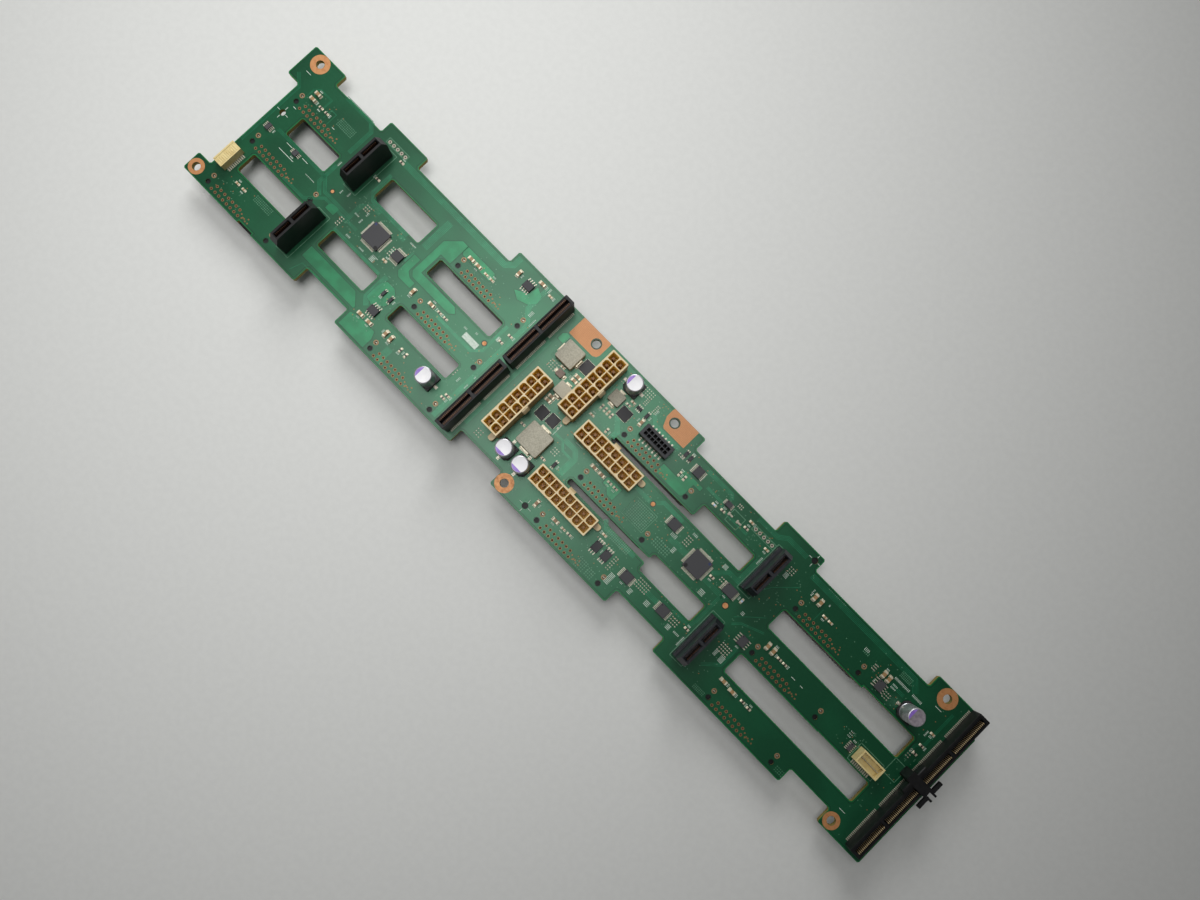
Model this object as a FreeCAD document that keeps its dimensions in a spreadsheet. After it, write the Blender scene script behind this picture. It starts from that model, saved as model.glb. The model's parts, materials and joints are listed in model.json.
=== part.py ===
"""Drive backplane board: joins twelve 3.5 inch drives in a 2U server to its power and data boards.

The board stands on the mating faces of its twelve drive receptacles, populated side up.
The origin is the middle of the board's outline, on the plane that the receptacle faces rest
on. +X runs along the board, +Y across it, +Z up. Lengths are in millimetres.

Drives sit in four columns, drive_pitch apart, and three rows, bay_pitch apart. A place on the
board is counted in steps of place_step from a datum: a column or row of drives, the middle
between two of them, or an edge of the board.
"""

import FreeCAD, Part
import os
import re

import Sketcher

Vector = FreeCAD.Vector
UP = Vector(0, 0, 1)

DOC = FreeCAD.newDocument("drive_backplane")

# ---------------------------------------------------------------------------- driving sizes

SIZES = {
    "board": {
        "drive_pitch": 108.0,
        "bay_pitch": 27.3,
        "left_margin": 13.0,
        "right_margin": 95.2,
        "lower_margin": 3.5,
        "upper_margin": 24.7,
        "board_thickness": 2.4,
        "corner_cut": 0.7,
        "place_step": 0.1,
        "screw_hole": 4.0,
        "tooling_hole": 3.0,
    },
    "drive receptacles": {
        "receptacle_height": 8.8,
        "receptacle_width": 7.0,
        "receptacle_end": 1.9,
        "peg_span": 38.85,
        "peg_diameter": 2.1,
        "peg_clearance": 0.2,
        "peg_recess": 0.5,
        "port_depth": 6.2,
        "port_width": 1.9,
        "port_shift": 0.3,
        "port_rim": 2.2,
        "key_width": 1.6,
        "key_depth": 1.6,
        "key_shift": 2.2,
        "port_lead_in": 0.35,
        "rail_groove_width": 2.4,
        "rail_groove_depth": 1.0,
        "contact_pitch": 1.27,
        "contact_width": 0.8,
        "contact_thickness": 0.35,
        "contact_inset": 0.75,
        "contact_recess": 1.0,
        "lock_width": 1.0,
        "lock_thickness": 0.5,
        "lock_length": 4.2,
        "lock_hole": 1.5,
    },
    "power headers": {
        "header_pitch": 4.2,
        "header_height": 12.8,
        "header_wall": 0.7,
        "header_rim": 0.5,
        "header_side_rim": 0.55,
        "header_floor": 3.0,
        "keying_cut": 1.1,
        "latch_width": 3.4,
        "latch_reach": 1.6,
        "latch_drop": 2.9,
        "latch_setback": 0.4,
        "latch_lip": 0.7,
        "latch_tip": 0.4,
        "ear_length": 3.2,
        "ear_width": 2.9,
        "ear_height": 3.4,
        "ear_shift": 2.2,
        "ear_bevel": 0.7,
        "blade": 1.07,
        "blade_drop": 1.8,
    },
    "card sockets": {
        "riser_length": 39.1,
        "riser_width": 5.1,
        "riser_height": 14.0,
        "riser_gap": 1.4,
        "edge_length": 39.5,
        "edge_width": 5.6,
        "edge_height": 7.7,
        "edge_gap": 1.9,
        "short_length": 24.6,
        "short_width": 4.5,
        "short_height": 15.5,
        "short_foot_height": 4.8,
        "short_foot_reach": 1.3,
        "slot_width": 1.8,
        "slot_depth": 6.0,
        "long_slot_end": 1.4,
        "short_slot_end": 2.6,
        "slot_rib": 1.9,
        "slot_rib_shift": 1.3,
        "slot_lead_in": 0.35,
        "long_end_bevel": 0.4,
        "short_end_bevel": 2.0,
        "spring_thickness": 0.3,
        "spring_recess": 1.0,
        "tail_reach": 0.9,
        "tail_thickness": 0.25,
    },
    "guide block": {
        "guide_plate": 1.5,
        "guide_bar_width": 4.8,
        "guide_bar_length": 12.4,
        "guide_wing_length": 14.4,
        "guide_wing_width": 1.7,
        "guide_wing_gap": 1.0,
        "guide_prong_reach": 1.5,
        "guide_prong_width": 1.0,
        "guide_prong_gap": 1.9,
        "guide_bevel": 0.5,
        "guide_fit": 0.1,
    },
    "signal and panel connectors": {
        "signal_pitch": 2.0,
        "signal_width": 6.2,
        "signal_height": 6.5,
        "signal_end": 2.25,
        "signal_bore": 1.1,
        "signal_depth": 4.0,
        "signal_key_width": 2.2,
        "signal_key_depth": 0.55,
        "signal_key_drop": 2.0,
        "signal_tail": 1.5,
        "signal_tail_width": 0.55,
        "panel_pitch": 1.0,
        "panel_length": 12.1,
        "side_panel_width": 5.4,
        "side_panel_height": 4.5,
        "top_panel_width": 6.4,
        "top_panel_height": 6.0,
        "panel_wall": 0.7,
        "panel_depth": 3.6,
        "panel_pin": 0.4,
        "panel_tail": 1.5,
    },
    "power parts": {
        "can_diameter": 8.0,
        "can_height": 12.0,
        "can_groove": 0.35,
        "can_groove_height": 0.9,
        "can_groove_width": 0.8,
        "can_base": 8.4,
        "can_base_height": 1.6,
        "can_base_corner": 1.7,
        "coil_corner": 0.7,
        "coil_edge": 0.4,
        "coil_strap": 0.3,
        "coil_strap_reach": 0.9,
    },
    "chips": {
        "controller_side": 10.0,
        "controller_height": 1.4,
        "controller_edge": 0.3,
        "lead_pitch": 0.5,
        "lead_width": 0.25,
        "lead_reach": 1.0,
        "lead_height": 0.3,
        "stage_height": 1.0,
        "logic_height": 1.5,
        "large_chip_length": 3.2,
        "large_chip_width": 1.6,
        "large_chip_height": 1.3,
        "small_chip_length": 1.8,
        "small_chip_width": 1.0,
        "small_chip_height": 0.6,
    },
}


def make_sheet():
    """Write each driving size to a row of the sheet: its name, then its value under an alias."""
    sheet = DOC.addObject("Spreadsheet::Sheet", "sizes")
    line = 1
    for heading, cells in SIZES.items():
        sheet.set(f"A{line}", heading)
        line += 1
        for alias, size in cells.items():
            sheet.set(f"A{line}", alias)
            sheet.set(f"B{line}", str(size))
            sheet.setAlias(f"B{line}", alias)
            line += 1
    sheet.recompute()
    return sheet


SHEET = make_sheet()
ALIASES = {alias for cells in SIZES.values() for alias in cells}


def bound(expression):
    """Return an expression in which each size's name points at its cell of the sheet."""
    return re.sub(r"[a-z][a-z0-9_]*", lambda word: "sizes." + word[0] if word[0] in ALIASES else word[0],
                  str(expression))


def value(expression):
    """Return what an expression on the sizes comes to, in millimetres."""
    return float(SHEET.evalExpression(bound(expression)))


# ------------------------------------------------------------------------------- the datums

HALF_LENGTH = "((left_margin + right_margin + 3 * drive_pitch) / 2)"
HALF_WIDTH = "((lower_margin + upper_margin + 2 * bay_pitch) / 2)"
COLUMNS = ("c0", "c1", "c2", "c3")
ROWS = ("r0", "r1", "r2")


def column(count):
    """Return X of a drive column's first peg, counted in columns from the leftmost one."""
    return f"({count} * drive_pitch + left_margin - {HALF_LENGTH})"


def row(count):
    """Return Y of a drive row's datum, counted in rows from the lowest one."""
    return f"({count} * bay_pitch + lower_margin - {HALF_WIDTH})"


X_DATUMS = {"left": f"(-{HALF_LENGTH})", "right": HALF_LENGTH}
X_DATUMS.update({name: column(count) for count, name in enumerate(COLUMNS)})
X_DATUMS["mid"] = column(1.5)
Y_DATUMS = {"lower": f"(-{HALF_WIDTH})", "upper": HALF_WIDTH,
            "r2": row(0), "r1": row(1), "r0": row(2), "m12": row(0.5), "m01": row(1.5)}
UNDERSIDE = "receptacle_height"
TOP = "(receptacle_height + board_thickness)"


def along(datum, steps):
    """Return X at a number of place steps from a datum."""
    return f"({X_DATUMS[datum]} + {steps} * place_step)"


def across(datum, steps):
    """Return Y at a number of place steps from a datum."""
    return f"({Y_DATUMS[datum]} + {steps} * place_step)"


def spot(x_datum, x_steps, y_datum, y_steps):
    """Return X and Y of a place on the board."""
    return along(x_datum, x_steps), across(y_datum, y_steps)


# ------------------------------------------------------------------------ sketches, features

def body(label):
    """Return a new, empty body."""
    made = DOC.addObject("PartDesign::Body", label)
    made.Label = label
    return made


def origin_plane(owner, role):
    """Return the body's own origin plane that has the given role."""
    return [plane for plane in owner.Origin.OriginFeatures if plane.Role == role][0]


def sketch(owner, name, role="XY_Plane", offset="0"):
    """Return an empty sketch on one of the body's planes, moved off it by an offset."""
    made = owner.newObject("Sketcher::SketchObject", name)
    made.AttachmentSupport = [(origin_plane(owner, role), "")]
    made.MapMode = "FlatFace"
    made.setExpression("AttachmentOffset.Base.z", bound(offset))
    return made


def profile(made, corners):
    """Add a closed outline of straight lines, each corner bound to its two expressions."""
    places = [Vector(value(x), value(y), 0) for x, y in corners]
    first = made.GeometryCount
    count = len(corners)
    made.addGeometry([Part.LineSegment(places[i], places[(i + 1) % count]) for i in range(count)], False)
    ties = [Sketcher.Constraint("Coincident", first + i, 2, first + (i + 1) % count, 1) for i in range(count)]
    start = made.ConstraintCount + count
    for i, place in enumerate(places):
        ties.append(Sketcher.Constraint("DistanceX", -1, 1, first + i, 1, place.x))
        ties.append(Sketcher.Constraint("DistanceY", -1, 1, first + i, 1, place.y))
    made.addConstraint(ties)
    for i, (x, y) in enumerate(corners):
        made.setExpression(f"Constraints[{start + 2 * i}]", bound(x))
        made.setExpression(f"Constraints[{start + 2 * i + 1}]", bound(y))


def rectangle(made, low_x, high_x, low_y, high_y):
    """Add a rectangle between four bound lines."""
    profile(made, [(low_x, low_y), (high_x, low_y), (high_x, high_y), (low_x, high_y)])


def circle(made, x, y, diameter):
    """Add a circle with a bound centre and diameter."""
    centre = Vector(value(x), value(y), 0)
    index = made.addGeometry(Part.Circle(centre, UP, value(diameter) / 2), False)
    ties = [Sketcher.Constraint("DistanceX", -1, 1, index, 3, centre.x),
            Sketcher.Constraint("DistanceY", -1, 1, index, 3, centre.y),
            Sketcher.Constraint("Diameter", index, value(diameter))]
    start = made.ConstraintCount
    made.addConstraint(ties)
    for i, expression in enumerate((x, y, diameter)):
        made.setExpression(f"Constraints[{start + i}]", bound(expression))


def octagon(made, x, y, across_flats):
    """Add a regular octagon with a bound centre and size: a small round form in few faces."""
    flat, corner = f"({across_flats}) / 2", f"({across_flats}) / 2 * (sqrt(2) - 1)"
    ring = [(flat, corner), (corner, flat)]
    ring += [(f"-({corner})", flat), (f"-({flat})", corner)]
    ring += [(f"-({flat})", f"-({corner})"), (f"-({corner})", f"-({flat})")]
    ring += [(corner, f"-({flat})"), (flat, f"-({corner})")]
    profile(made, [(f"{x} + {right}", f"{y} + {up}") for right, up in ring])


def feature(owner, kind, name):
    """Add a feature to a body and make it the tip."""
    made = owner.newObject(f"PartDesign::{kind}", name)
    owner.Tip = made
    return made


def pad(owner, name, outline, length, down=False, middle=False):
    """Pad a sketch along its normal, against it, or both ways."""
    made = feature(owner, "Pad", name)
    made.Profile = outline
    made.Reversed = down
    if middle:
        made.SideType = "Symmetric"
    made.setExpression("Length", bound(length))
    return made


def pocket(owner, name, outline, depth, up=False, middle=False):
    """Cut a sketch into the body against its normal, along it, or both ways, and prove that it cut."""
    DOC.recompute()
    before = owner.Shape.Volume
    made = feature(owner, "Pocket", name)
    made.Profile = outline
    made.Reversed = up
    if middle:
        made.SideType = "Symmetric"
    made.setExpression("Length", bound(depth))
    DOC.recompute()
    if owner.Shape.Volume >= before:
        raise RuntimeError(f"{owner.Label}: {name} cuts nothing")
    return made


def pattern(owner, name, originals, outline, count, length):
    """Repeat features along the X axis of their sketch, with the whole run's length bound."""
    DOC.recompute()
    made = feature(owner, "LinearPattern", name)
    made.Originals = originals
    made.Direction = (outline, ["H_Axis"])
    made.Occurrences = count
    made.setExpression("Length", bound(length))
    return made


def edges_where(shape, test):
    """Return the names of the shape's edges that pass a test."""
    return [f"Edge{i + 1}" for i, edge in enumerate(shape.Edges) if test(edge)]


def upright(edge):
    """Tell whether an edge is a straight line along Z."""
    if len(edge.Vertexes) < 2:
        return False
    run = edge.Vertexes[1].Point - edge.Vertexes[0].Point
    return abs(run.x) < 1e-6 and abs(run.y) < 1e-6


def level(edge, height):
    """Tell whether both ends of an edge lie at a height."""
    return all(abs(vertex.Z - height) < 1e-6 for vertex in edge.Vertexes)


def chamfer(owner, name, test, size):
    """Bevel the edges of the body's tip that pass a test."""
    DOC.recompute()
    tip = owner.Tip
    made = feature(owner, "Chamfer", name)
    made.Base = (tip, edges_where(tip.Shape, test))
    made.setExpression("Size", bound(size))
    return made


def place(made, x="0", y="0", z="0", turn=0):
    """Turn an object about Z and bind its position."""
    made.Placement = FreeCAD.Placement(Vector(), FreeCAD.Rotation(UP, turn))
    for axis, expression in zip("xyz", (x, y, z)):
        made.setExpression(f"Placement.Base.{axis}", bound(expression))
    return made


def repeat(label, original, x, y, z, turn=0):
    """Return a body that repeats another body's solid at a place of its own."""
    made = body(label)
    made.BaseFeature = original
    return place(made, x, y, z, turn)


def block(name, low_x, length, low_y, width, low_z, height):
    """Return a plain block for a group, with each size and its lowest corner bound."""
    made = DOC.addObject("Part::Box", name)
    for prop, expression in (("Length", length), ("Width", width), ("Height", height)):
        made.setExpression(prop, bound(expression))
    return place(made, low_x, low_y, low_z)


def centred_block(name, x, length, y, width, low_z, height):
    """Return a plain block centred on a place."""
    return block(name, f"{x} - ({length}) / 2", length, f"{y} - ({width}) / 2", width, low_z, height)


def group(label, pieces):
    """Return one sub-part that holds several separate solids."""
    made = DOC.addObject("Part::Compound", label)
    made.Label = label
    made.Links = pieces
    return made


# ------------------------------------------------------------------------------- the board

# Notches in the edges: datum and steps to their two sides, then the depth in steps.
UPPER_NOTCHES = (("c0", 71, 377, 65), ("c1", -459, 151, 65), ("c2", 272, 779, 65), ("c3", -54, 649, 65))
LOWER_NOTCHES = (("c0", 233, 320, 12), ("c1", -468, -202, 86), ("mid", 15, 275, 74),
                 ("c2", 468, 765, 74), ("c3", 468, 705, 76))
LEFT_NOTCH = (-209, 339, 76)
CORNER_STEP = (22, 85)

# Air windows between two drive rows: row datum, column, then corners in steps, right-handed.
WINDOWS = (
    ("m01", "c0", ((81, -3), (334, -3), (334, 103), (81, 103))),
    ("m12", "c0", ((52, -3), (405, -3), (405, 101), (52, 101))),
    ("m01", "c1", ((-503, 77), (-202, 77), (-202, 201), (-503, 201))),
    ("m12", "c1", ((-516, 17), (-215, 17), (-215, 116), (-516, 116))),
    ("m01", "c1", ((-75, 9), (337, 9), (337, 101), (-75, 101))),
    ("m12", "c1", ((-49, 11), (337, 11), (337, 99), (-49, 99))),
    ("m01", "c2", ((-28, 75), (791, 75), (791, 172), (471, 172), (471, 102), (-28, 102))),
    ("m12", "c2", ((-28, 75), (471, 75), (471, 35), (792, 35), (792, 134), (471, 134), (471, 103),
                   (-28, 103))),
    ("m01", "c3", ((-32, -7), (760, -7), (760, 112), (445, 112), (445, 101), (-32, 101))),
    ("m12", "c3", ((-32, -8), (752, -8), (752, 103), (440, 103), (440, 100), (-32, 100))),
)

SCREW_HOLES = (("left", 78, "upper", -48), ("left", 41, "lower", 44), ("mid", 158, "upper", -48),
               ("mid", 662, "upper", -48), ("mid", 321, "lower", 46), ("right", -208, "upper", -48),
               ("right", -206, "lower", 45))
TOOLING_HOLES = (("left", 126, "m01", 55), ("c3", -87, "upper", -35), ("mid", 458, "lower", 43))

LOCK_OFFSET = "((receptacle_width + lock_thickness) / 2)"


def board_outline():
    """Return the corners of the board's outline, counter-clockwise from its lower left corner."""
    left, right = X_DATUMS["left"], X_DATUMS["right"]
    lower, upper = Y_DATUMS["lower"], Y_DATUMS["upper"]
    corners = [(left, lower)]
    for datum, start, end, depth in LOWER_NOTCHES:
        floor = across("lower", depth)
        corners += [(along(datum, start), lower), (along(datum, start), floor),
                    (along(datum, end), floor), (along(datum, end), lower)]
    inset, drop = CORNER_STEP
    corners += [(right, lower), (right, across("upper", -drop)),
                (along("right", -inset), across("upper", -drop)), (along("right", -inset), upper)]
    for datum, start, end, depth in reversed(UPPER_NOTCHES):
        floor = across("upper", -depth)
        corners += [(along(datum, end), upper), (along(datum, end), floor),
                    (along(datum, start), floor), (along(datum, start), upper)]
    low, high, depth = LEFT_NOTCH
    corners += [(left, upper), (left, across("r1", high)), (along("left", depth), across("r1", high)),
                (along("left", depth), across("r1", low)), (left, across("r1", low))]
    return corners


def make_board():
    """Make the circuit board: its notched outline, windows, screw holes and receptacle holes."""
    board = body("circuit_board")
    place(board, z=UNDERSIDE)
    outline = sketch(board, "board_outline")
    profile(outline, board_outline())
    pad(board, "board_blank", outline, "board_thickness")
    windows = sketch(board, "air_windows")
    for y_datum, x_datum, corners in WINDOWS:
        profile(windows, [spot(x_datum, x, y_datum, y) for x, y in corners])
    pocket(board, "window_cut", windows, "board_thickness", up=True)
    DOC.recompute()
    blank = board.Tip.Shape
    room = 2 * value("corner_cut")

    def roomy(edge):
        """Tell whether an upright edge has room for its cut on both sides."""
        return upright(edge) and all(face.Area / edge.Length > room
                                     for face in blank.ancestorsOfType(edge, Part.Face))

    chamfer(board, "cut_corners", roomy, "corner_cut")
    screws = sketch(board, "screw_holes")
    for hole in SCREW_HOLES:
        circle(screws, *spot(*hole), "screw_hole")
    for hole in TOOLING_HOLES:
        circle(screws, *spot(*hole), "tooling_hole")
    pocket(board, "screw_hole_cut", screws, "board_thickness", up=True)
    for y_datum in ROWS:
        holes = sketch(board, f"receptacle_holes_{y_datum}")
        for end in (0, 1):
            x = f"{X_DATUMS['c0']} + {end} * peg_span"
            octagon(holes, x, Y_DATUMS[y_datum], "peg_diameter + peg_clearance")
            octagon(holes, x, f"{Y_DATUMS[y_datum]} + {LOCK_OFFSET}", "lock_hole")
        cut = pocket(board, f"receptacle_cut_{y_datum}", holes, "board_thickness", up=True)
        pattern(board, f"receptacle_cuts_{y_datum}", [cut], holes, len(COLUMNS),
                f"{len(COLUMNS) - 1} * drive_pitch")
    return board


# --------------------------------------------------------------------- the drive receptacles

RECEPTACLE_HALF = "(peg_span / 2 + receptacle_end)"
PORT_HALF = "(peg_span / 2 - port_rim)"
PORT_WALL = "(port_shift + port_width / 2)"
POWER_CONTACTS = 15
SIGNAL_CONTACTS = 7


def receptacle_housing(label):
    """Make a receptacle housing hanging from z = 0: ends grooved for the drive's rails, an L-keyed
    port in its face, and two pegs that enter the board."""
    housing = body(label)
    plan = sketch(housing, label + "_plan")
    half, side = RECEPTACLE_HALF, "receptacle_width / 2"
    groove, inner = "rail_groove_width / 2", f"({half} - rail_groove_depth)"
    profile(plan, [(f"-{half}", f"-({side})"), (half, f"-({side})"), (half, f"-{groove}"),
                   (inner, f"-{groove}"), (inner, groove), (half, groove), (half, side),
                   (f"-{half}", side), (f"-{half}", groove), (f"-{inner}", groove),
                   (f"-{inner}", f"-{groove}"), (f"-{half}", f"-{groove}")])
    pad(housing, label + "_block", plan, "receptacle_height", down=True)
    port = sketch(housing, label + "_port", offset="-receptacle_height")
    reach, wall, key = PORT_HALF, PORT_WALL, "(port_shift - port_width / 2)"
    foot = f"({key} - key_depth)"
    profile(port, [(f"-{reach}", foot), (f"-{reach} + key_width", foot), (f"-{reach} + key_width", key),
                   ("key_shift - key_width", key), ("key_shift - key_width", foot), ("key_shift", foot),
                   ("key_shift", key), (f"{reach} - key_width", key), (f"{reach} - key_width", foot),
                   (reach, foot), (reach, wall), (f"-{reach}", wall)])
    pocket(housing, label + "_port_cut", port, "port_depth", up=True)
    face = value("-receptacle_height")
    outer = value(inner)
    chamfer(housing, label + "_lead_in",
            lambda edge: level(edge, face) and all(abs(v.X) < outer and abs(v.Y) < value(side)
                                                   for v in edge.Vertexes), "port_lead_in")
    pegs = sketch(housing, label + "_pegs")
    for side_sign in ("-", ""):
        octagon(pegs, f"{side_sign}peg_span / 2", "0", "peg_diameter")
    pad(housing, label + "_peg_pair", pegs, "board_thickness - peg_recess")
    return housing


def make_receptacles():
    """Make the twelve drive receptacles, one for each place of the drive grid."""
    first = receptacle_housing("drive_receptacle_1")
    made = []
    for number, (x_datum, y_datum) in enumerate([(c, r) for r in ROWS for c in COLUMNS], start=1):
        x = f"{X_DATUMS[x_datum]} + peg_span / 2"
        if number == 1:
            made.append(place(first, x, Y_DATUMS[y_datum], UNDERSIDE))
        else:
            made.append(repeat(f"drive_receptacle_{number}", first, x, Y_DATUMS[y_datum], UNDERSIDE))
    return made


def make_receptacle_contacts():
    """Make each receptacle's power and signal contact rows, standing on the port's long wall."""
    start, low = f"(contact_inset - {PORT_HALF})", f"{UNDERSIDE} - receptacle_height + contact_recess"
    strips = []
    for x_datum in COLUMNS:
        for y_datum in ROWS:
            middle = f"({X_DATUMS[x_datum]} + peg_span / 2)"
            back = f"{Y_DATUMS[y_datum]} + {PORT_WALL} - contact_thickness"
            for row_name, contacts in (("power", POWER_CONTACTS), ("signal", SIGNAL_CONTACTS)):
                run = f"({contacts - 1} * contact_pitch + contact_width)"
                x = f"{middle} + {start}" if row_name == "power" else f"{middle} - {start} - {run}"
                strips.append(block(f"{row_name}_{x_datum}_{y_datum}", x, run, back, "contact_thickness",
                                    low, "port_depth - contact_recess"))
    return group("receptacle_contacts", strips)


def make_board_locks():
    """Make the metal locks that hold each receptacle's two ends in plated holes of the board."""
    locks = []
    for x_datum in COLUMNS:
        for y_datum in ROWS:
            for end in (0, 1):
                locks.append(block(f"lock_{x_datum}_{y_datum}_{end}",
                                   f"{X_DATUMS[x_datum]} + {end} * peg_span - lock_width / 2", "lock_width",
                                   f"{Y_DATUMS[y_datum]} + receptacle_width / 2", "lock_thickness",
                                   f"{UNDERSIDE} - lock_length + board_thickness - peg_recess",
                                   "lock_length"))
    return group("board_locks", locks)


# ------------------------------------------------------------------------ the power headers

# Each header: its place, and its turn about Z in degrees.
HEADER_PLACES = (
    (("mid", 115, "r1", 30), -90),
    (("mid", 294, "r0", 44), -90),
    (("mid", 562, "m01", 14), 0),
    (("mid", 562, "m12", 12), 0),
)
CAVITIES = 8
# Cavities of the latch side's row that are keyed with two cut corners. In the other row it's the rest.
KEYED_LATCH_ROW = (0, 3, 4, 7)
HEADER_HALF = f"({CAVITIES / 2} * header_pitch + header_rim)"
HEADER_SIDE = "(header_pitch + header_side_rim)"


def cavity_x(index):
    """Return X of a cavity's middle, counted from the header's -X end."""
    return f"({index - (CAVITIES - 1) / 2} * header_pitch)"


def header_housing(label):
    """Make a 2 x 8 power header: two rows of keyed cavities, a latch ramp on +Y and a peg ear on +X."""
    housing = body(label)
    plan = sketch(housing, label + "_plan")
    rectangle(plan, f"-{HEADER_HALF}", HEADER_HALF, f"-{HEADER_SIDE}", HEADER_SIDE)
    pad(housing, label + "_block", plan, "header_height")
    cavities = sketch(housing, label + "_cavities", offset="header_height")
    opening = "((header_pitch - header_wall) / 2)"
    for index in range(CAVITIES // 2):
        for row_sign in ("-", ""):
            x, y = cavity_x(index), f"{row_sign}header_pitch / 2"
            rectangle(cavities, f"{x} - {opening}", f"{x} + {opening}", f"{y} - {opening}", f"{y} + {opening}")
    half = pocket(housing, label + "_half_cut", cavities, "header_height - header_floor")
    mirrored = feature(housing, "Mirrored", label + "_cavity_pairs")
    mirrored.Originals = [half]
    mirrored.MirrorPlane = (origin_plane(housing, "YZ_Plane"), [""])
    pitch, wall = value("header_pitch"), value("header_wall")

    def keyed(edge):
        """Tell whether an edge is a corner of a keyed cavity, on the side away from the latch."""
        if not upright(edge):
            return False
        x, y = edge.Vertexes[0].X, edge.Vertexes[0].Y
        index = round(x / pitch - 0.5) + CAVITIES // 2
        latch_row = y > 0
        far_side = abs(y - (wall / 2 if latch_row else wall / 2 - pitch)) < 1e-4
        inside = abs(x) < CAVITIES / 2 * pitch
        return far_side and inside and (index in KEYED_LATCH_ROW) == latch_row

    chamfer(housing, label + "_keying", keyed, "keying_cut")
    side = sketch(housing, label + "_latch_side", "YZ_Plane")
    top = "(header_height - latch_setback)"
    profile(side, [(HEADER_SIDE, f"{top} - latch_drop"), (f"{HEADER_SIDE} + latch_reach", f"{top} - latch_drop"),
                   (f"{HEADER_SIDE} + latch_reach", f"{top} - latch_drop + latch_lip"),
                   (f"{HEADER_SIDE} + latch_tip", top), (HEADER_SIDE, top)])
    pad(housing, label + "_latch", side, "latch_width", middle=True)
    ear = sketch(housing, label + "_ear_plan")
    tip, bevel = f"({HEADER_HALF} + ear_length)", "ear_bevel"
    low, high = "(ear_shift - ear_width / 2)", "(ear_shift + ear_width / 2)"
    profile(ear, [(HEADER_HALF, low), (f"{tip} - {bevel}", low), (tip, f"{low} + {bevel}"),
                  (tip, f"{high} - {bevel}"), (f"{tip} - {bevel}", high), (HEADER_HALF, high)])
    pad(housing, label + "_ear", ear, "ear_height")
    return housing


def header_blades(label):
    """Make a power header's sixteen square pins, standing on the cavity floors."""
    blades = body(label)
    plan = sketch(blades, label + "_plan", offset="header_floor")
    start = cavity_x(0)
    for row_sign in ("-", ""):
        y = f"{row_sign}header_pitch / 2"
        rectangle(plan, f"{start} - blade / 2", f"{start} + blade / 2", f"{y} - blade / 2", f"{y} + blade / 2")
    pair = pad(blades, label + "_pair", plan, "header_height - header_floor - blade_drop")
    pattern(blades, label + "_rows", [pair], plan, CAVITIES, f"{CAVITIES - 1} * header_pitch")
    return blades


def make_power_headers():
    """Make the four power headers and their pins."""
    housing = header_housing("power_header_1")
    blades = header_blades("power_header_pins_1")
    made = []
    for number, (where, turn) in enumerate(HEADER_PLACES, start=1):
        x, y = spot(*where)
        for label, original in (("power_header", housing), ("power_header_pins", blades)):
            if number == 1:
                made.append(place(original, x, y, TOP, turn))
            else:
                made.append(repeat(f"{label}_{number}", original, x, y, TOP, turn))
    return made


# ------------------------------------------------------------------------- the card sockets

# The middle of each pair of long sockets, and the places of the short ones. All run along Y.
RISER_MIDDLE = ("mid", -45, "r1", 112)
EDGE_MIDDLE = ("right", -70, "r1", 115)
SHORT_PLACES = (("c0", 477, "r0", 18), ("c0", 477, "m12", 10), ("c3", -213, "r0", 16), ("c3", -213, "m12", 8))
ALONG_Y = 90
# An end bevel is this much taller than it is wide.
BEVEL_SLOPE = 2


def slot_ends(kind, end, shift):
    """Return the two slots of a socket as pairs of ends along X, either side of the rib."""
    half = f"{kind}_length / 2"
    return ((f"({end} - {half})", f"({shift} - slot_rib / 2)"),
            (f"({shift} + slot_rib / 2)", f"({half} - {end})"))


def socket_block(label, kind, bevel):
    """Make the upright block of a card socket, with bevelled ends."""
    housing = body(label)
    side = sketch(housing, label + "_side", "XZ_Plane")
    half, height = f"({kind}_length / 2)", f"{kind}_height"
    shoulder = f"{height} - {BEVEL_SLOPE} * {bevel}"
    profile(side, [(f"-{half}", "0"), (half, "0"), (half, shoulder), (f"{half} - {bevel}", height),
                   (f"{bevel} - {half}", height), (f"-{half}", shoulder)])
    pad(housing, label + "_block", side, f"{kind}_width", middle=True)
    return housing


def cut_slots(housing, label, kind, slots):
    """Cut a socket's slots into its top and bevel their mouths."""
    top = sketch(housing, label + "_slots", offset=f"{kind}_height")
    for low, high in slots:
        rectangle(top, low, high, "-slot_width / 2", "slot_width / 2")
    pocket(housing, label + "_slot_cut", top, "slot_depth")
    height, side = value(f"{kind}_height"), value("slot_width / 2") + 1e-3
    chamfer(housing, label + "_lead_in",
            lambda edge: level(edge, height) and all(abs(v.Y) < side for v in edge.Vertexes), "slot_lead_in")


def socket_springs(label, kind, slots, x, y):
    """Return the spring rows that line a socket's slots, for a socket that runs along Y."""
    springs = []
    for slot, (low, high) in enumerate(slots):
        for side, face in enumerate(("-slot_width / 2", "slot_width / 2 - spring_thickness")):
            springs.append(block(f"{label}_{slot}_{side}", f"{x} + {face}", "spring_thickness",
                                 f"{y} + {low} + spring_thickness", f"{high} - {low} - 2 * spring_thickness",
                                 f"{TOP} + {kind}_height - slot_depth", "slot_depth - spring_recess"))
    return springs


def socket_tails(label, kind, slots, x, y):
    """Return the rows of solder tails along a socket's two feet, for a socket that runs along Y."""
    tails = []
    for slot, (low, high) in enumerate(slots):
        for side, face in enumerate((f"-{kind}_width / 2 - tail_reach", f"{kind}_width / 2")):
            tails.append(block(f"{label}_{slot}_{side}", f"{x} + {face}", "tail_reach",
                               f"{y} + {low}", f"{high} - {low}", TOP, "tail_thickness"))
    return tails


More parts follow.
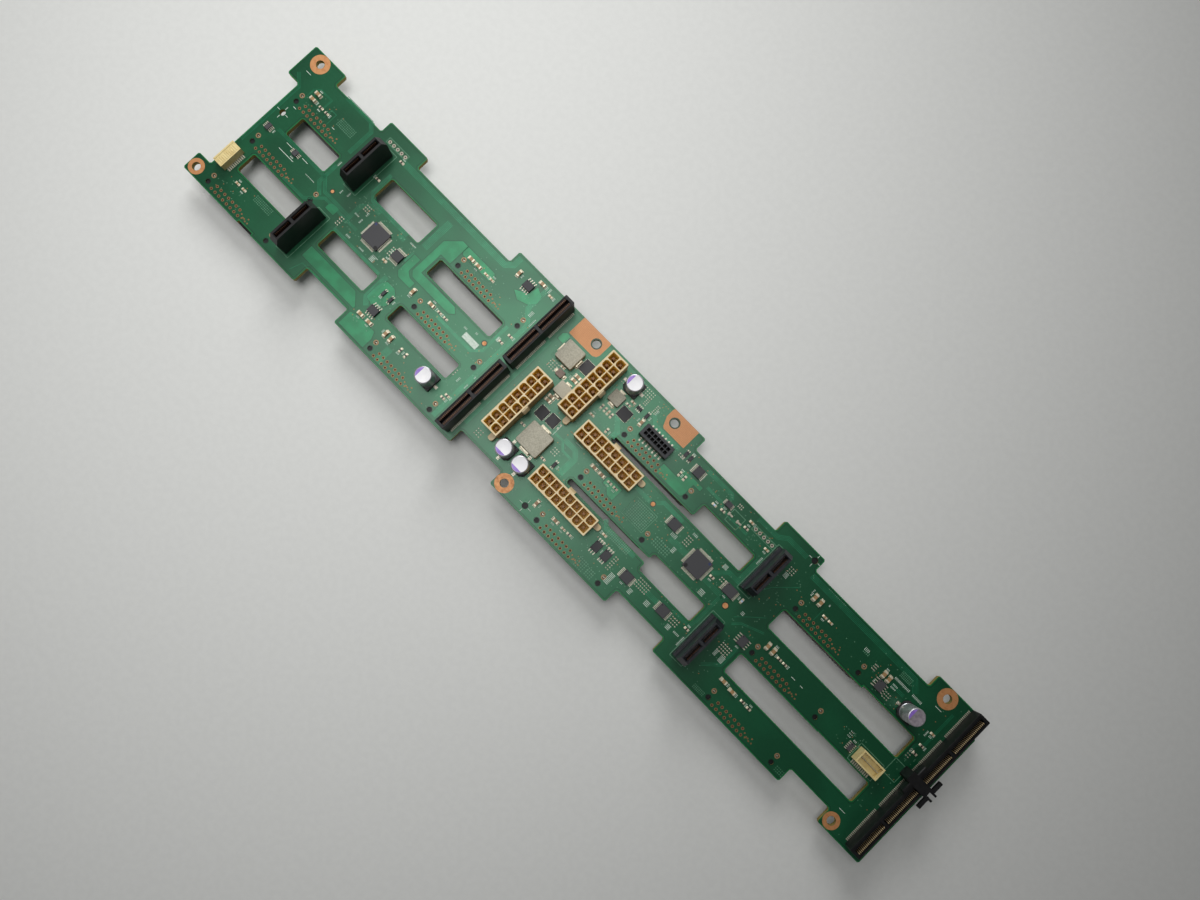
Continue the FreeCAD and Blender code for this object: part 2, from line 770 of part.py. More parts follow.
def make_long_sockets():
    """Make the two pairs of long card sockets, each pair end to end across the board."""
    made = []
    for kind, middle in (("riser", RISER_MIDDLE), ("edge", EDGE_MIDDLE)):
        x, centre = spot(*middle)
        slots = slot_ends(kind, "long_slot_end", "slot_rib_shift")
        first = socket_block(f"{kind}_socket_1", kind, "long_end_bevel")
        cut_slots(first, f"{kind}_socket_1", kind, slots)
        contacts = []
        for number, sign in ((1, "+"), (2, "-")):
            y = f"({centre} {sign} ({kind}_length + {kind}_gap) / 2)"
            if number == 1:
                made.append(place(first, x, y, TOP, ALONG_Y))
            else:
                made.append(repeat(f"{kind}_socket_2", first, x, y, TOP, ALONG_Y))
            contacts += socket_springs(f"{kind}_spring_{number}", kind, slots, x, y)
            contacts += socket_tails(f"{kind}_tail_{number}", kind, slots, x, y)
        made.append(group(f"{kind}_socket_contacts", contacts))
    return made


def make_short_sockets():
    """Make the four short card sockets, each on a foot that reaches out on its -X side."""
    slots = slot_ends("short", "short_slot_end", "0")
    first = socket_block("card_socket_1", "short", "short_end_bevel")
    foot = sketch(first, "card_socket_foot")
    side = "short_width / 2"
    rectangle(foot, "-short_length / 2", "short_length / 2", f"-({side})", f"{side} + short_foot_reach")
    pad(first, "card_socket_foot_block", foot, "short_foot_height")
    cut_slots(first, "card_socket_1", "short", slots)
    made, contacts = [], []
    for number, where in enumerate(SHORT_PLACES, start=1):
        x, y = spot(*where)
        if number == 1:
            made.append(place(first, x, y, TOP, ALONG_Y))
        else:
            made.append(repeat(f"card_socket_{number}", first, x, y, TOP, ALONG_Y))
        contacts += socket_springs(f"card_spring_{number}", "short", slots, x, y)
    made.append(group("card_socket_contacts", contacts))
    return made


def make_guide_block():
    """Make the moulded block between the two edge sockets: a post in their gap, which carries a bar
    over their ends with a wing at each end of the bar and two prongs past the outer wing."""
    block_body = body("guide_block")
    x, y = spot(*EDGE_MIDDLE)
    plan = sketch(block_body, "guide_post_plan")
    post = "(edge_gap / 2 - guide_fit)"
    rectangle(plan, "-edge_width / 2", "edge_width / 2", f"-{post}", post)
    pad(block_body, "guide_post", plan, "edge_height")
    top = sketch(block_body, "guide_top_plan", offset="edge_height")
    bar, wing = "(guide_bar_width / 2)", "(guide_wing_length / 2)"
    outer = "(edge_width / 2 + guide_wing_gap + guide_wing_width)"
    inner = f"({outer} - guide_wing_width)"
    start = f"({outer} - guide_bar_length)"
    gap = "(guide_prong_gap / 2)"
    tip = f"({outer} + guide_prong_reach)"
    prong = f"({gap} + guide_prong_width)"
    profile(top, [(start, f"-{bar}"), (inner, f"-{bar}"), (inner, f"-{wing}"), (outer, f"-{wing}"),
                  (outer, f"-{prong}"), (tip, f"-{prong}"), (tip, f"-{gap}"), (inner, f"-{gap}"),
                  (inner, gap), (tip, gap), (tip, prong), (outer, prong), (outer, wing), (inner, wing),
                  (inner, bar), (start, bar)])
    pad(block_body, "guide_top", top, "guide_plate")
    side = "(-edge_width / 2 - tail_reach - guide_fit)"
    leg = sketch(block_body, "guide_leg_plan")
    rectangle(leg, start, side, f"-{bar}", bar)
    pad(block_body, "guide_leg", leg, "edge_height")
    chamfer(block_body, "guide_edges",
            lambda edge: upright(edge) and abs(edge.Vertexes[0].X - value(start)) < 1e-4, "guide_bevel")
    return place(block_body, x, y, TOP)


# ------------------------------------------------------------- signal and panel connectors

SIGNAL_PLACE = ("mid", 664, "r0", 77)
SIGNAL_COLUMNS = 7
SIDE_PANEL_PLACE = ("left", 120, "m12", 13)
TOP_PANEL_PLACE = ("c3", 678, "r1", 24)
PANEL_PINS = 10


def make_signal_socket():
    """Make the 2 x 7 signal socket and its solder tails."""
    socket = body("signal_socket")
    plan = sketch(socket, "signal_plan_view")
    half = f"({(SIGNAL_COLUMNS - 1) / 2} * signal_pitch + signal_end)"
    side = "(signal_width / 2)"
    rectangle(plan, f"-{half}", half, f"-{side}", side)
    pad(socket, "signal_block", plan, "signal_height")
    bores = sketch(socket, "signal_bores", offset="signal_height")
    start = f"({-(SIGNAL_COLUMNS - 1) / 2} * signal_pitch)"
    for row_sign in ("-", ""):
        y = f"{row_sign}signal_pitch / 2"
        rectangle(bores, f"{start} - signal_bore / 2", f"{start} + signal_bore / 2",
                  f"{y} - signal_bore / 2", f"{y} + signal_bore / 2")
    cut = pocket(socket, "signal_bore_cut", bores, "signal_depth")
    pattern(socket, "signal_bore_rows", [cut], bores, SIGNAL_COLUMNS, f"{SIGNAL_COLUMNS - 1} * signal_pitch")
    key = sketch(socket, "signal_key", offset="signal_height")
    rectangle(key, "-signal_key_width / 2", "signal_key_width / 2", f"{side} - signal_key_depth", side)
    pocket(socket, "signal_key_cut", key, "signal_key_drop")
    x, y = spot(*SIGNAL_PLACE)
    tails = []
    for index in range(SIGNAL_COLUMNS):
        for face in (f"-{side} - signal_tail", side):
            tails.append(block(f"signal_tail_{len(tails)}",
                               f"{x} + {start} + {index} * signal_pitch - signal_tail_width / 2",
                               "signal_tail_width",
                               f"{y} + {face}", "signal_tail", TOP, "tail_thickness"))
    return [place(socket, x, y, TOP), group("signal_socket_tails", tails)]


def make_panel_headers():
    """Make the two wire headers for the front panels: one opens to the side, one opens upwards."""
    side_header = body("side_panel_header")
    plan = sketch(side_header, "side_panel_plan")
    half = "(panel_length / 2)"
    rectangle(plan, "-side_panel_width / 2", "side_panel_width / 2", f"-{half}", half)
    pad(side_header, "side_panel_block", plan, "side_panel_height")
    mouth = sketch(side_header, "side_panel_mouth", "YZ_Plane", offset="-side_panel_width / 2")
    rectangle(mouth, f"panel_wall - {half}", f"{half} - panel_wall", "panel_wall",
              "side_panel_height - panel_wall")
    pocket(side_header, "side_panel_mouth_cut", mouth, "panel_depth", up=True)
    x, y = spot(*SIDE_PANEL_PLACE)
    row = f"({PANEL_PINS - 1} * panel_pitch + panel_pin)"
    pins = [block("side_tails", f"{x} + side_panel_width / 2", "panel_tail", f"{y} - {row} / 2", row,
                  TOP, "tail_thickness")]
    for index in range(PANEL_PINS):
        shift = f"{y} + {index - (PANEL_PINS - 1) / 2} * panel_pitch - panel_pin / 2"
        pins.append(block(f"side_pin_{index}", f"{x} - side_panel_width / 2 + panel_wall",
                          "panel_depth - panel_wall", shift, "panel_pin",
                          f"{TOP} + side_panel_height / 2", "panel_pin"))
    top_header = body("top_panel_header")
    outline = sketch(top_header, "top_panel_plan")
    rectangle(outline, f"-{half}", half, "-top_panel_width / 2", "top_panel_width / 2")
    pad(top_header, "top_panel_block", outline, "top_panel_height")
    well = sketch(top_header, "top_panel_well", offset="top_panel_height")
    rectangle(well, f"panel_wall - {half}", f"{half} - panel_wall", "panel_wall - top_panel_width / 2",
              "top_panel_width / 2 - panel_wall")
    pocket(top_header, "top_panel_well_cut", well, "panel_depth")
    high_x, high_y = spot(*TOP_PANEL_PLACE)
    pins.append(block("top_tails", f"{high_x} - {row} / 2", row, f"{high_y} - top_panel_width / 2 - panel_tail",
                      "panel_tail", TOP, "tail_thickness"))
    for index in range(PANEL_PINS):
        shift = f"{high_x} + {index - (PANEL_PINS - 1) / 2} * panel_pitch - panel_pin / 2"
        pins.append(block(f"top_pin_{index}", shift, "panel_pin", f"{high_y} - panel_pin / 2", "panel_pin",
                          f"{TOP} + top_panel_height - panel_depth", "panel_depth - panel_wall"))
    return [place(side_header, x, y, TOP), place(top_header, high_x, high_y, TOP),
            group("panel_header_pins", pins)]


# ------------------------------------------------------------------------ the power parts

CAN_PLACES = (("c1", 285, "m12", -47), ("mid", 220, "m12", -16), ("mid", 321, "m12", -17),
              ("mid", 416, "r0", 181), ("c3", 654, "r0", 32))
# Each coil: place, then length, width and height in steps, and whether its straps are at its X ends.
COILS = (
    (("mid", 116, "r0", 76), (100, 102, 45), True),
    (("mid", 280, "r1", -30), (125, 122, 60), False),
    (("mid", 400, "r0", 90), (64, 61, 30), False),
    (("mid", 206, "m01", 77), (64, 62, 48), False),
    (("mid", 142, "r0", -13), (36, 34, 20), True),
)


def make_capacitors():
    """Make the five can capacitors, each turned with a crimp groove, and their square bases."""
    can = body("capacitor")
    side = sketch(can, "can_side", "XZ_Plane")
    radius, groove = "(can_diameter / 2)", "(can_base_height + can_groove_height)"
    profile(side, [("0", "can_base_height"), (radius, "can_base_height"),
                   (radius, f"{groove} - can_groove_width / 2"), (f"{radius} - can_groove", groove),
                   (radius, f"{groove} + can_groove_width / 2"), (radius, "can_height"), ("0", "can_height")])
    turned = feature(can, "Revolution", "can_turned")
    turned.Profile = side
    turned.ReferenceAxis = (side, ["V_Axis"])
    turned.Angle = 360
    base = body("capacitor_base")
    plan = sketch(base, "can_base_plan")
    half, corner = "(can_base / 2)", "can_base_corner"
    profile(plan, [(f"-{half}", f"-{half}"), (half, f"-{half}"), (half, f"{half} - {corner}"),
                   (f"{half} - {corner}", half), (f"{corner} - {half}", half), (f"-{half}", f"{half} - {corner}")])
    pad(base, "can_base_block", plan, "can_base_height")
    cans, bases = [], []
    for number, where in enumerate(CAN_PLACES, start=1):
        x, y = spot(*where)
        cans.append(repeat(f"capacitor_{number}", can, x, y, TOP))
        bases.append(repeat(f"capacitor_base_{number}", base, x, y, TOP))
    return [group("capacitors", cans), group("capacitor_bases", bases)]


# A strap's height and width, as shares of its coil's.
STRAP_RISE = 0.6
STRAP_SPREAD = 0.4


def make_coils():
    """Make the five moulded coils and the metal straps at their ends."""
    made, straps = [], []
    for number, (where, (length, width, height), along_x) in enumerate(COILS, start=1):
        x, y = spot(*where)
        coil = body(f"power_coil_{number}")
        plan = sketch(coil, f"coil_plan_{number}")
        half_x, half_y = f"({length} * place_step / 2)", f"({width} * place_step / 2)"
        rectangle(plan, f"-{half_x}", half_x, f"-{half_y}", half_y)
        pad(coil, f"coil_block_{number}", plan, f"{height} * place_step")
        chamfer(coil, f"coil_corners_{number}", upright, "coil_corner")
        top = value(f"{height} * place_step")
        chamfer(coil, f"coil_edges_{number}", lambda edge, top=top: level(edge, top), "coil_edge")
        made.append(place(coil, x, y, TOP))
        rise = f"{STRAP_RISE} * {height} * place_step"
        spread = f"{STRAP_SPREAD} * {width if along_x else length} * place_step"
        for sign in (-1, 1):
            name = f"coil_strap_{number}_{'low' if sign < 0 else 'high'}"
            half = half_x if along_x else half_y
            strap = body(name)
            side = sketch(strap, name + "_side", "XZ_Plane")
            near, far = half, f"({half} + coil_strap_reach)"
            profile(side, [(near, "0"), (far, "0"), (far, "coil_strap"), (f"{near} + coil_strap", "coil_strap"),
                           (f"{near} + coil_strap", rise), (near, rise)])
            pad(strap, name + "_bend", side, spread, middle=True)
            turn = (180 if sign < 0 else 0) + (0 if along_x else 90)
            straps.append(place(strap, x, y, TOP, turn))
    return made + [group("coil_straps", straps)]


# ------------------------------------------------------------------------------- the chips

CONTROLLER_PLACES = (("c1", -355, "r1", 99), ("c3", -442, "r1", 100))
LEADS_PER_SIDE = 16
# Chips as place, then length and width in steps.
POWER_STAGES = (
    (("mid", 210, "r0", 92), 60, 60),
    (("mid", 212, "r1", 79), 50, 56),
    (("mid", 272, "r1", 87), 51, 54),
    (("mid", 474, "r0", 66), 59, 54),
)
LOGIC_CHIPS = (
    (("c1", -219, "r1", 104), 52, 45),
    (("c1", 293, "upper", -85), 49, 39),
    (("c1", -113, "m12", -8), 49, 39),
    (("c2", 270, "m12", -27), 39, 49),
    (("c2", 327, "m12", -27), 39, 49),
    (("c3", -65, "r1", 5), 39, 49),
    (("c3", 492, "r0", 27), 39, 49),
    (("c2", 442, "r1", 151), 53, 50),
    (("c2", 459, "m12", -26), 53, 50),
    (("c2", 674, "m12", -16), 53, 50),
    (("c2", 353, "r0", 119), 42, 50),
    (("c3", -260, "r1", 120), 60, 50),
    (("c3", -531, "r0", 114), 34, 28),
)
SENSORS = (
    (("c1", -139, "r1", -56), 16, 29), (("c1", -95, "r1", -56), 16, 29), (("mid", 419, "r1", -45), 16, 29),
    (("c2", 257, "r0", 137), 16, 29), (("c2", 285, "r0", 137), 16, 29), (("mid", 504, "r0", 131), 29, 16),
    (("mid", 552, "r0", 131), 16, 29), (("left", 132, "r1", 100), 45, 35), (("c0", 182, "r1", 102), 50, 30),
    (("c3", 585, "r1", 20), 20, 40),
)
# Places of the large chip capacitors, lying along X and along Y.
LARGE_ALONG = (
    ("c0", 50, "r0", 94), ("c0", 50, "r0", 61), ("c1", 24, "r0", 64), ("c1", 69, "r0", 64),
    ("c1", 50, "r1", 62), ("c1", -143, "lower", 112), ("c1", -88, "lower", 113), ("c1", 332, "upper", -32),
    ("mid", 210, "r0", 32), ("mid", 210, "r0", 9), ("mid", 190, "r1", 158), ("mid", 190, "r1", 137),
    ("mid", 552, "r1", 74), ("mid", 598, "r1", 74), ("mid", 601, "lower", 93), ("c3", -1, "lower", 132),
    ("c3", 56, "lower", 126),
)
LARGE_ACROSS = (
    ("c1", -52, "r1", 43), ("c1", 3, "lower", 131), ("c1", 37, "lower", 131), ("c1", 222, "r0", 174),
    ("mid", 555, "r0", 93), ("mid", 487, "lower", 87), ("c3", 26, "r0", 98), ("c3", 60, "r0", 98),
    ("c3", 29, "r1", 71), ("c3", 62, "r1", 71), ("c3", 473, "r0", 76), ("c3", 502, "r0", 76),
)
SMALL_ALONG = (
    ("c0", 104, "r0", 60), ("c0", 142, "r0", 60), ("c0", 103, "lower", 124), ("c0", 145, "lower", 124),
    ("c1", -528, "upper", -99), ("c1", -547, "r0", 15), ("c1", 101, "r1", 63), ("c1", 139, "r1", 63),
    ("c1", 121, "r0", 63), ("c1", 157, "r0", 63), ("c1", -248, "r1", 50), ("mid", -138, "m01", 80),
    ("mid", -150, "m01", 32), ("mid", -140, "lower", 135), ("mid", -148, "lower", 114),
    ("mid", -142, "upper", -46),
    ("mid", 129, "r0", 16), ("mid", 189, "r1", -19), ("mid", 465, "r0", 131), ("mid", 457, "r0", 108),
    ("mid", 375, "r0", -41), ("mid", 364, "r1", -63), ("mid", 649, "r1", 75), ("mid", 684, "r1", 75),
    ("mid", 651, "lower", 92), ("mid", 686, "lower", 93), ("c2", 258, "r1", -104), ("c3", -530, "r0", 76),
    ("c3", -402, "r0", 131), ("c3", -402, "r0", 95), ("c3", -272, "r0", 92), ("c3", -357, "r1", 107),
    ("c3", -275, "m12", 3), ("c3", 117, "r0", 67), ("c3", 151, "r0", 67), ("c3", 104, "r1", 66),
    ("c3", 137, "r1", 66), ("c3", 120, "lower", 128), ("c3", 159, "lower", 125), ("right", -150, "r0", -28),
    ("right", -150, "r0", 42), ("right", -149, "r0", -73), ("c3", -575, "r0", 67),
)
SMALL_ACROSS = (
    ("c1", 103, "lower", 127), ("c1", 137, "lower", 126), ("mid", 379, "r0", 18), ("mid", 400, "r0", 18),
    ("mid", 419, "r0", 18), ("mid", 439, "r0", 18), ("mid", 472, "r0", -43), ("c2", 299, "r0", 55),
    ("c2", 328, "r0", 55), ("c3", -190, "r1", 127),
)


def make_controllers():
    """Make the two controller chips and their rows of leads, sixteen to a side."""
    first = body("controller_1")
    plan = sketch(first, "controller_plan")
    half, row = "(controller_side / 2)", f"({LEADS_PER_SIDE - 1} * lead_pitch + lead_width)"
    rectangle(plan, f"-{half}", half, f"-{half}", half)
    pad(first, "controller_block", plan, "controller_height")
    top = value("controller_height")
    chamfer(first, "controller_edges", lambda edge: level(edge, top), "controller_edge")
    made, leads = [], []
    for number, where in enumerate(CONTROLLER_PLACES, start=1):
        x, y = spot(*where)
        if number == 1:
            made.append(place(first, x, y, TOP))
        else:
            made.append(repeat(f"controller_{number}", first, x, y, TOP))
        for side, face in enumerate((f"-{half} - lead_reach", half)):
            leads.append(block(f"leads_{number}_x{side}", f"{x} + {face}", "lead_reach",
                               f"{y} - {row} / 2", row, TOP, "lead_height"))
            leads.append(block(f"leads_{number}_y{side}", f"{x} - {row} / 2", row,
                               f"{y} + {face}", "lead_reach", TOP, "lead_height"))
    return made + [group("controller_leads", leads)]


def chip_group(label, chips, height):
    """Return a group of flat chips, each given as place, length and width in steps."""
    return group(label, [centred_block(f"{label}_{index}", spot(*where)[0], f"{length} * place_step",
                                       spot(*where)[1], f"{width} * place_step", TOP, height)
                         for index, (where, length, width) in enumerate(chips)])


def passive_group(label, kind, along_places, across_places):
    """Return a group of two-ended chips that lie along X or along Y."""
    length, width, height = (f"{kind}_chip_{name}" for name in ("length", "width", "height"))
    pieces = [centred_block(f"{label}_x{index}", *interleave(spot(*where), (length, width)), TOP, height)
              for index, where in enumerate(along_places)]
    pieces += [centred_block(f"{label}_y{index}", *interleave(spot(*where), (width, length)), TOP, height)
               for index, where in enumerate(across_places)]
    return group(label, pieces)


def interleave(where, sizes):
    """Return x, length, y, width from a place and a pair of sizes."""
    return where[0], sizes[0], where[1], sizes[1]


def make_chips():
    """Make the controllers and the groups of small chips."""
    return make_controllers() + [
        chip_group("power_stages", POWER_STAGES, "stage_height"),
        chip_group("logic_chips", LOGIC_CHIPS, "logic_height"),
        chip_group("sensor_chips", SENSORS, "stage_height"),
        passive_group("large_chip_capacitors", "large", LARGE_ALONG, LARGE_ACROSS),
        passive_group("small_chip_resistors", "small", SMALL_ALONG, SMALL_ACROSS),
    ]


# ------------------------------------------------------------------------------ the export

def check_document():
    """Stop if any object of the document failed."""
    for item in DOC.Objects:
        if {"Invalid", "Error"} & set(item.State):
            raise RuntimeError(f"{item.Label} failed: {item.State}")


def write_parts(nodes):
    """Write each sub-part's solids to a file under its label, after checking them."""
    os.makedirs("parts", exist_ok=True)
    for node in nodes:
        shape = node.Shape
        if shape.isNull() or not shape.isValid() or not shape.Solids:
            raise RuntimeError(f"{node.Label} has no valid shape")
        shape.exportStep(os.path.join("parts", node.Label + ".step"))


def main():
    """Build every sub-part, check the document and write the files."""
    nodes = [make_board()]
    nodes += make_receptacles()
    nodes += [make_receptacle_contacts(), make_board_locks()]
    nodes += make_power_headers()
    nodes += make_long_sockets()
    nodes += make_short_sockets()
    nodes += [make_guide_block()]
    nodes += make_signal_socket()
    nodes += make_panel_headers()
    nodes += make_capacitors()
    nodes += make_coils()
    nodes += make_chips()
    DOC.recompute()
    check_document()
    write_parts(nodes)
    print(len(nodes), "sub-parts written")


main()
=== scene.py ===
"""Dresses the drive backplane board: its green board and copper, its connectors and its small parts.

Places on the board are in millimetres on the drive grid: X from halfway between the first pegs of
the second and third drive columns, Y from the middle drive row, and Z from the plane that the board
stands on. Form.piece turns them into the row frame's metres.
"""

from __future__ import annotations

import json
import logging
import math
from dataclasses import dataclass
from enum import Enum
from typing import Protocol, Sequence

import bpy
import numpy as np
from mathutils import Matrix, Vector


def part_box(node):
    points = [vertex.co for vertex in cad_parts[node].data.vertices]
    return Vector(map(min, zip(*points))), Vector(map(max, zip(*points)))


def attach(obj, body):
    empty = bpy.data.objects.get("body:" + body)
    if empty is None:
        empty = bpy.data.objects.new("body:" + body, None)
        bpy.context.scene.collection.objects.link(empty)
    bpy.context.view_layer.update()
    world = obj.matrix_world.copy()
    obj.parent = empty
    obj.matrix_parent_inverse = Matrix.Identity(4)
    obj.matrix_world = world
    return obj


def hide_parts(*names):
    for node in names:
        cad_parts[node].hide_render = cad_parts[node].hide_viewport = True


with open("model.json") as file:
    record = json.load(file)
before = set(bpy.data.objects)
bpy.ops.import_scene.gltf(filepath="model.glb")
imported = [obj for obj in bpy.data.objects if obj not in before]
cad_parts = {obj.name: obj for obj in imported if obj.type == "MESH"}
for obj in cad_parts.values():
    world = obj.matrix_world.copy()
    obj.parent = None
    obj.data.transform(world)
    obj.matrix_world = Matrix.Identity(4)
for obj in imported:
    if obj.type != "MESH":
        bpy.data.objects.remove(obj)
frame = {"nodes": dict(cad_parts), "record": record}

LOG = logging.getLogger("backplane")
MM = 0.001
GRID = np.array([-41.1, -10.6, 0.0])
CREASE = math.radians(32)
TINY = 1e-9
Outline = np.ndarray
Point = tuple[float, float]
Path = tuple[Point, ...]
Colour = tuple[int, int, int]
Pieces = list[bpy.types.Object]


# ------------ shader maths

class Link:
    """A number or colour in a shader. Operators on it add Math nodes to its graph."""

    def __init__(self, graph: Graph, socket: bpy.types.NodeSocket) -> None:
        """Wrap one output socket of a graph."""
        self.graph = graph
        self.socket = socket

    def _math(self, operation: str, *values: Link | float) -> Link:
        """Return a Math node's result for an operation and up to three values."""
        return self.graph.node("ShaderNodeMath", {"operation": operation}, dict(enumerate(values)))

    def __add__(self, other: Link | float) -> Link:
        """Return the sum."""
        return self._math("ADD", self, other)

    def __radd__(self, other: float) -> Link:
        """Return the sum with a number on the left."""
        return self._math("ADD", other, self)

    def __sub__(self, other: Link | float) -> Link:
        """Return the difference."""
        return self._math("SUBTRACT", self, other)

    def __rsub__(self, other: float) -> Link:
        """Return a number less this."""
        return self._math("SUBTRACT", other, self)

    def __mul__(self, other: Link | float) -> Link:
        """Return the product."""
        return self._math("MULTIPLY", self, other)

    def __rmul__(self, other: float) -> Link:
        """Return the product with a number on the left."""
        return self._math("MULTIPLY", other, self)

    def __gt__(self, other: Link | float) -> Link:
        """Return 1 where this is greater, else 0."""
        return self._math("GREATER_THAN", self, other)

    def __abs__(self) -> Link:
        """Return the size without its sign."""
        return self._math("ABSOLUTE", self)

    def ramp(self, low: float, high: float) -> Link:
        """Return 0 below low and 1 above high, rising smoothly between.

        Args:
            low: the value at which the ramp starts.
            high: the value at which it ends.

        Returns:
            A link from 0 to 1.
        """
        return self.graph.node("ShaderNodeMapRange", {"interpolation_type": "SMOOTHSTEP"},
                               {"Value": self, "From Min": low, "From Max": high})


class Graph:
    """The node tree of one material, ending in a Principled shader."""

    def __init__(self, name: str) -> None:
        """Make a material with an empty tree and its shader.

        Args:
            name: the material's name.
        """
        self.material = bpy.data.materials.new(name)
        self.material.use_nodes = True
        self.tree = self.material.node_tree
        self.tree.nodes.clear()
        self.shader = self.tree.nodes.new("ShaderNodeBsdfPrincipled")
        out = self.tree.nodes.new("ShaderNodeOutputMaterial")
        self.tree.links.new(self.shader.outputs[0], out.inputs[0])

    def node(self, kind: str, settings: dict | None = None, values: dict | None = None,
             output: int | str = 0) -> Link:
        """Add a node, set it, feed it and return one of its outputs.

        Args:
            kind: the node's type.
            settings: properties of the node, set first; "stops" are a ramp's places and colours.
            values: what goes into its sockets, by name or number: a Link or a plain value.
            output: the output wanted, by name or number.

        Returns:
            The output as a Link.
        """
        made = self.tree.nodes.new(kind)
        for key, value in (settings or {}).items():
            if key == "stops":
                for stop, (place, colour) in zip(list(made.color_ramp.elements), value):
                    stop.position, stop.color = place, colour
            else:
                setattr(made, key, value)
        for key, value in (values or {}).items():
            self.feed(made.inputs[key], value)
        return Link(self, made.outputs[output])

    def feed(self, socket: bpy.types.NodeSocket, value: Link | float | Sequence[float]) -> None:
        """Give an input socket its value.

        Args:
            socket: the input.
            value: a link to join to it, or a plain value to set.
        """
        if isinstance(value, Link):
            self.tree.links.new(value.socket, socket)
        else:
            socket.default_value = value

    def set(self, **sockets: Link | float | Sequence[float]) -> None:
        """Feed the shader's sockets, named with underscores for spaces."""
        for name, value in sockets.items():
            self.feed(self.shader.inputs[name.replace("_", " ")], value)

    def place(self) -> Link:
        """Return the place on the piece, in metres of the row frame."""
        return self.node("ShaderNodeTexCoord", output="Object")

    def axis(self, vector: Link, name: str) -> Link:
        """Return one of X, Y and Z of a vector."""
        return self.node("ShaderNodeSeparateXYZ", values={0: vector}, output=name)

    def facing(self, name: str) -> Link:
        """Return X, Y or Z of the way that the surface faces."""
        return self.axis(self.node("ShaderNodeNewGeometry", output="Normal"), name)

    def noise(self, grain: float, detail: float = 2.0, stretch: Sequence[float] = (1, 1, 1)) -> Link:
        """Return smooth noise about 0.5.

        Args:
            grain: the size of its spots in millimetres.
            detail: how many finer layers it has.
            stretch: how much denser it is along X, Y and Z.

        Returns:
            A link from 0 to 1.
        """
        place = self.node("ShaderNodeMapping", values={"Vector": self.place(), "Scale": stretch})
        values = {"Vector": place, "Scale": 1 / (grain * MM), "Detail": detail}
        return self.node("ShaderNodeTexNoise", values=values)

    def mix(self, factor: Link | float, first: Link | Sequence[float],
            second: Link | Sequence[float]) -> Link:
        """Return a colour between two, by a factor from 0 to 1."""
        return self.node("ShaderNodeMix", {"data_type": "RGBA"}, {0: factor, 6: first, 7: second}, 2)

    def bump(self, height: Link, depth: float) -> Link:
        """Return the surface's normal, pushed by a height from 0 to 1 times a depth in millimetres."""
        return self.node("ShaderNodeBump", values={"Height": height, "Distance": depth * MM})


def linear(colour: Colour, gain: float = 1.0) -> tuple[float, float, float, float]:
    """Return a screen colour in linear light.

    Each part is ((c + 0.055) / 1.055) to the power 2.4, or c / 12.92 where it is 10 of 255 or less.

    Args:
        colour: red, green and blue from 0 to 255.
        gain: how much brighter to make it.

    Returns:
        Red, green, blue and 1.
    """
    parts = ((((c / 255 + 0.055) / 1.055) ** 2.4 if c > 10 else c / 255 / 12.92) * gain for c in colour)
    return (*parts, 1.0)


# ------------ finishes

@dataclass(frozen=True)
class Finish:
    """A moulded, fired or printed surface: two close colours that wander, and a fine grain."""

    name: str
    colour: Colour
    wander: Colour
    roughness: float = 0.5
    metallic: float = 0.0
    shine: float = 0.5
    patch: float = 3.0
    grain: float = 0.15
    depth: float = 0.01

    def material(self) -> bpy.types.Material:
        """Look the finish's material up, or make it at its first use.

        Returns:
            The material.
        """
        found = bpy.data.materials.get(self.name)
        if found is None:
            graph = Graph(self.name)
            graph.set(Metallic=self.metallic, Specular_IOR_Level=self.shine)
            self.paint(graph)
            found = graph.material
        return found

    def paint(self, graph: Graph) -> None:
        """Join the colour, roughness and bump to the shader.

        Args:
            graph: the material's nodes.
        """
        patches = graph.noise(self.patch, 3.0).ramp(0.35, 0.65)
        fine = graph.noise(self.grain)
        graph.set(Base_Color=graph.mix(patches, linear(self.colour), linear(self.wander)),
                  Roughness=self.roughness + (fine - 0.5) * 0.12, Normal=graph.bump(fine, self.depth))


@dataclass(frozen=True)
class SolderMask(Finish):
    """Green mask over copper planes, with the laminate's cut edge showing on upright faces."""

    edge: Colour = (158, 144, 74)
    plane: float = 28.0
    weave: float = 0.55
    fibre: float = 0.35
    peel: float = 0.9

    def paint(self, graph: Graph) -> None:
        """Mix wide planes, a faint glass weave and the cut edge's fibres by the way a face looks.

        Args:
            graph: the material's nodes.
        """
        planes = graph.noise(self.plane, 1.0).ramp(0.42, 0.58)
        warp, weft = (graph.noise(self.weave, 1.0, way) * 0.5 for way in ((1, 0.35, 1), (0.35, 1, 1)))
        cloth = warp + weft
        green = graph.mix(planes * 0.55 + (cloth - 0.5) * 0.7, linear(self.colour), linear(self.wander))
        fibres = graph.noise(self.fibre, 2.0, (1, 1, 6))
        cut = graph.mix(fibres.ramp(0.3, 0.7), linear(self.edge), linear(self.edge, 0.55))
        level = abs(graph.facing("Z")) > 0.5
        peel = graph.noise(self.peel, 2.0) * 0.6 + cloth * 0.4
        graph.set(Base_Color=graph.mix(level, cut, green), Normal=graph.bump(peel, self.depth),
                  Roughness=(1 - level) * 0.45 + self.roughness + (cloth - 0.5) * 0.08)


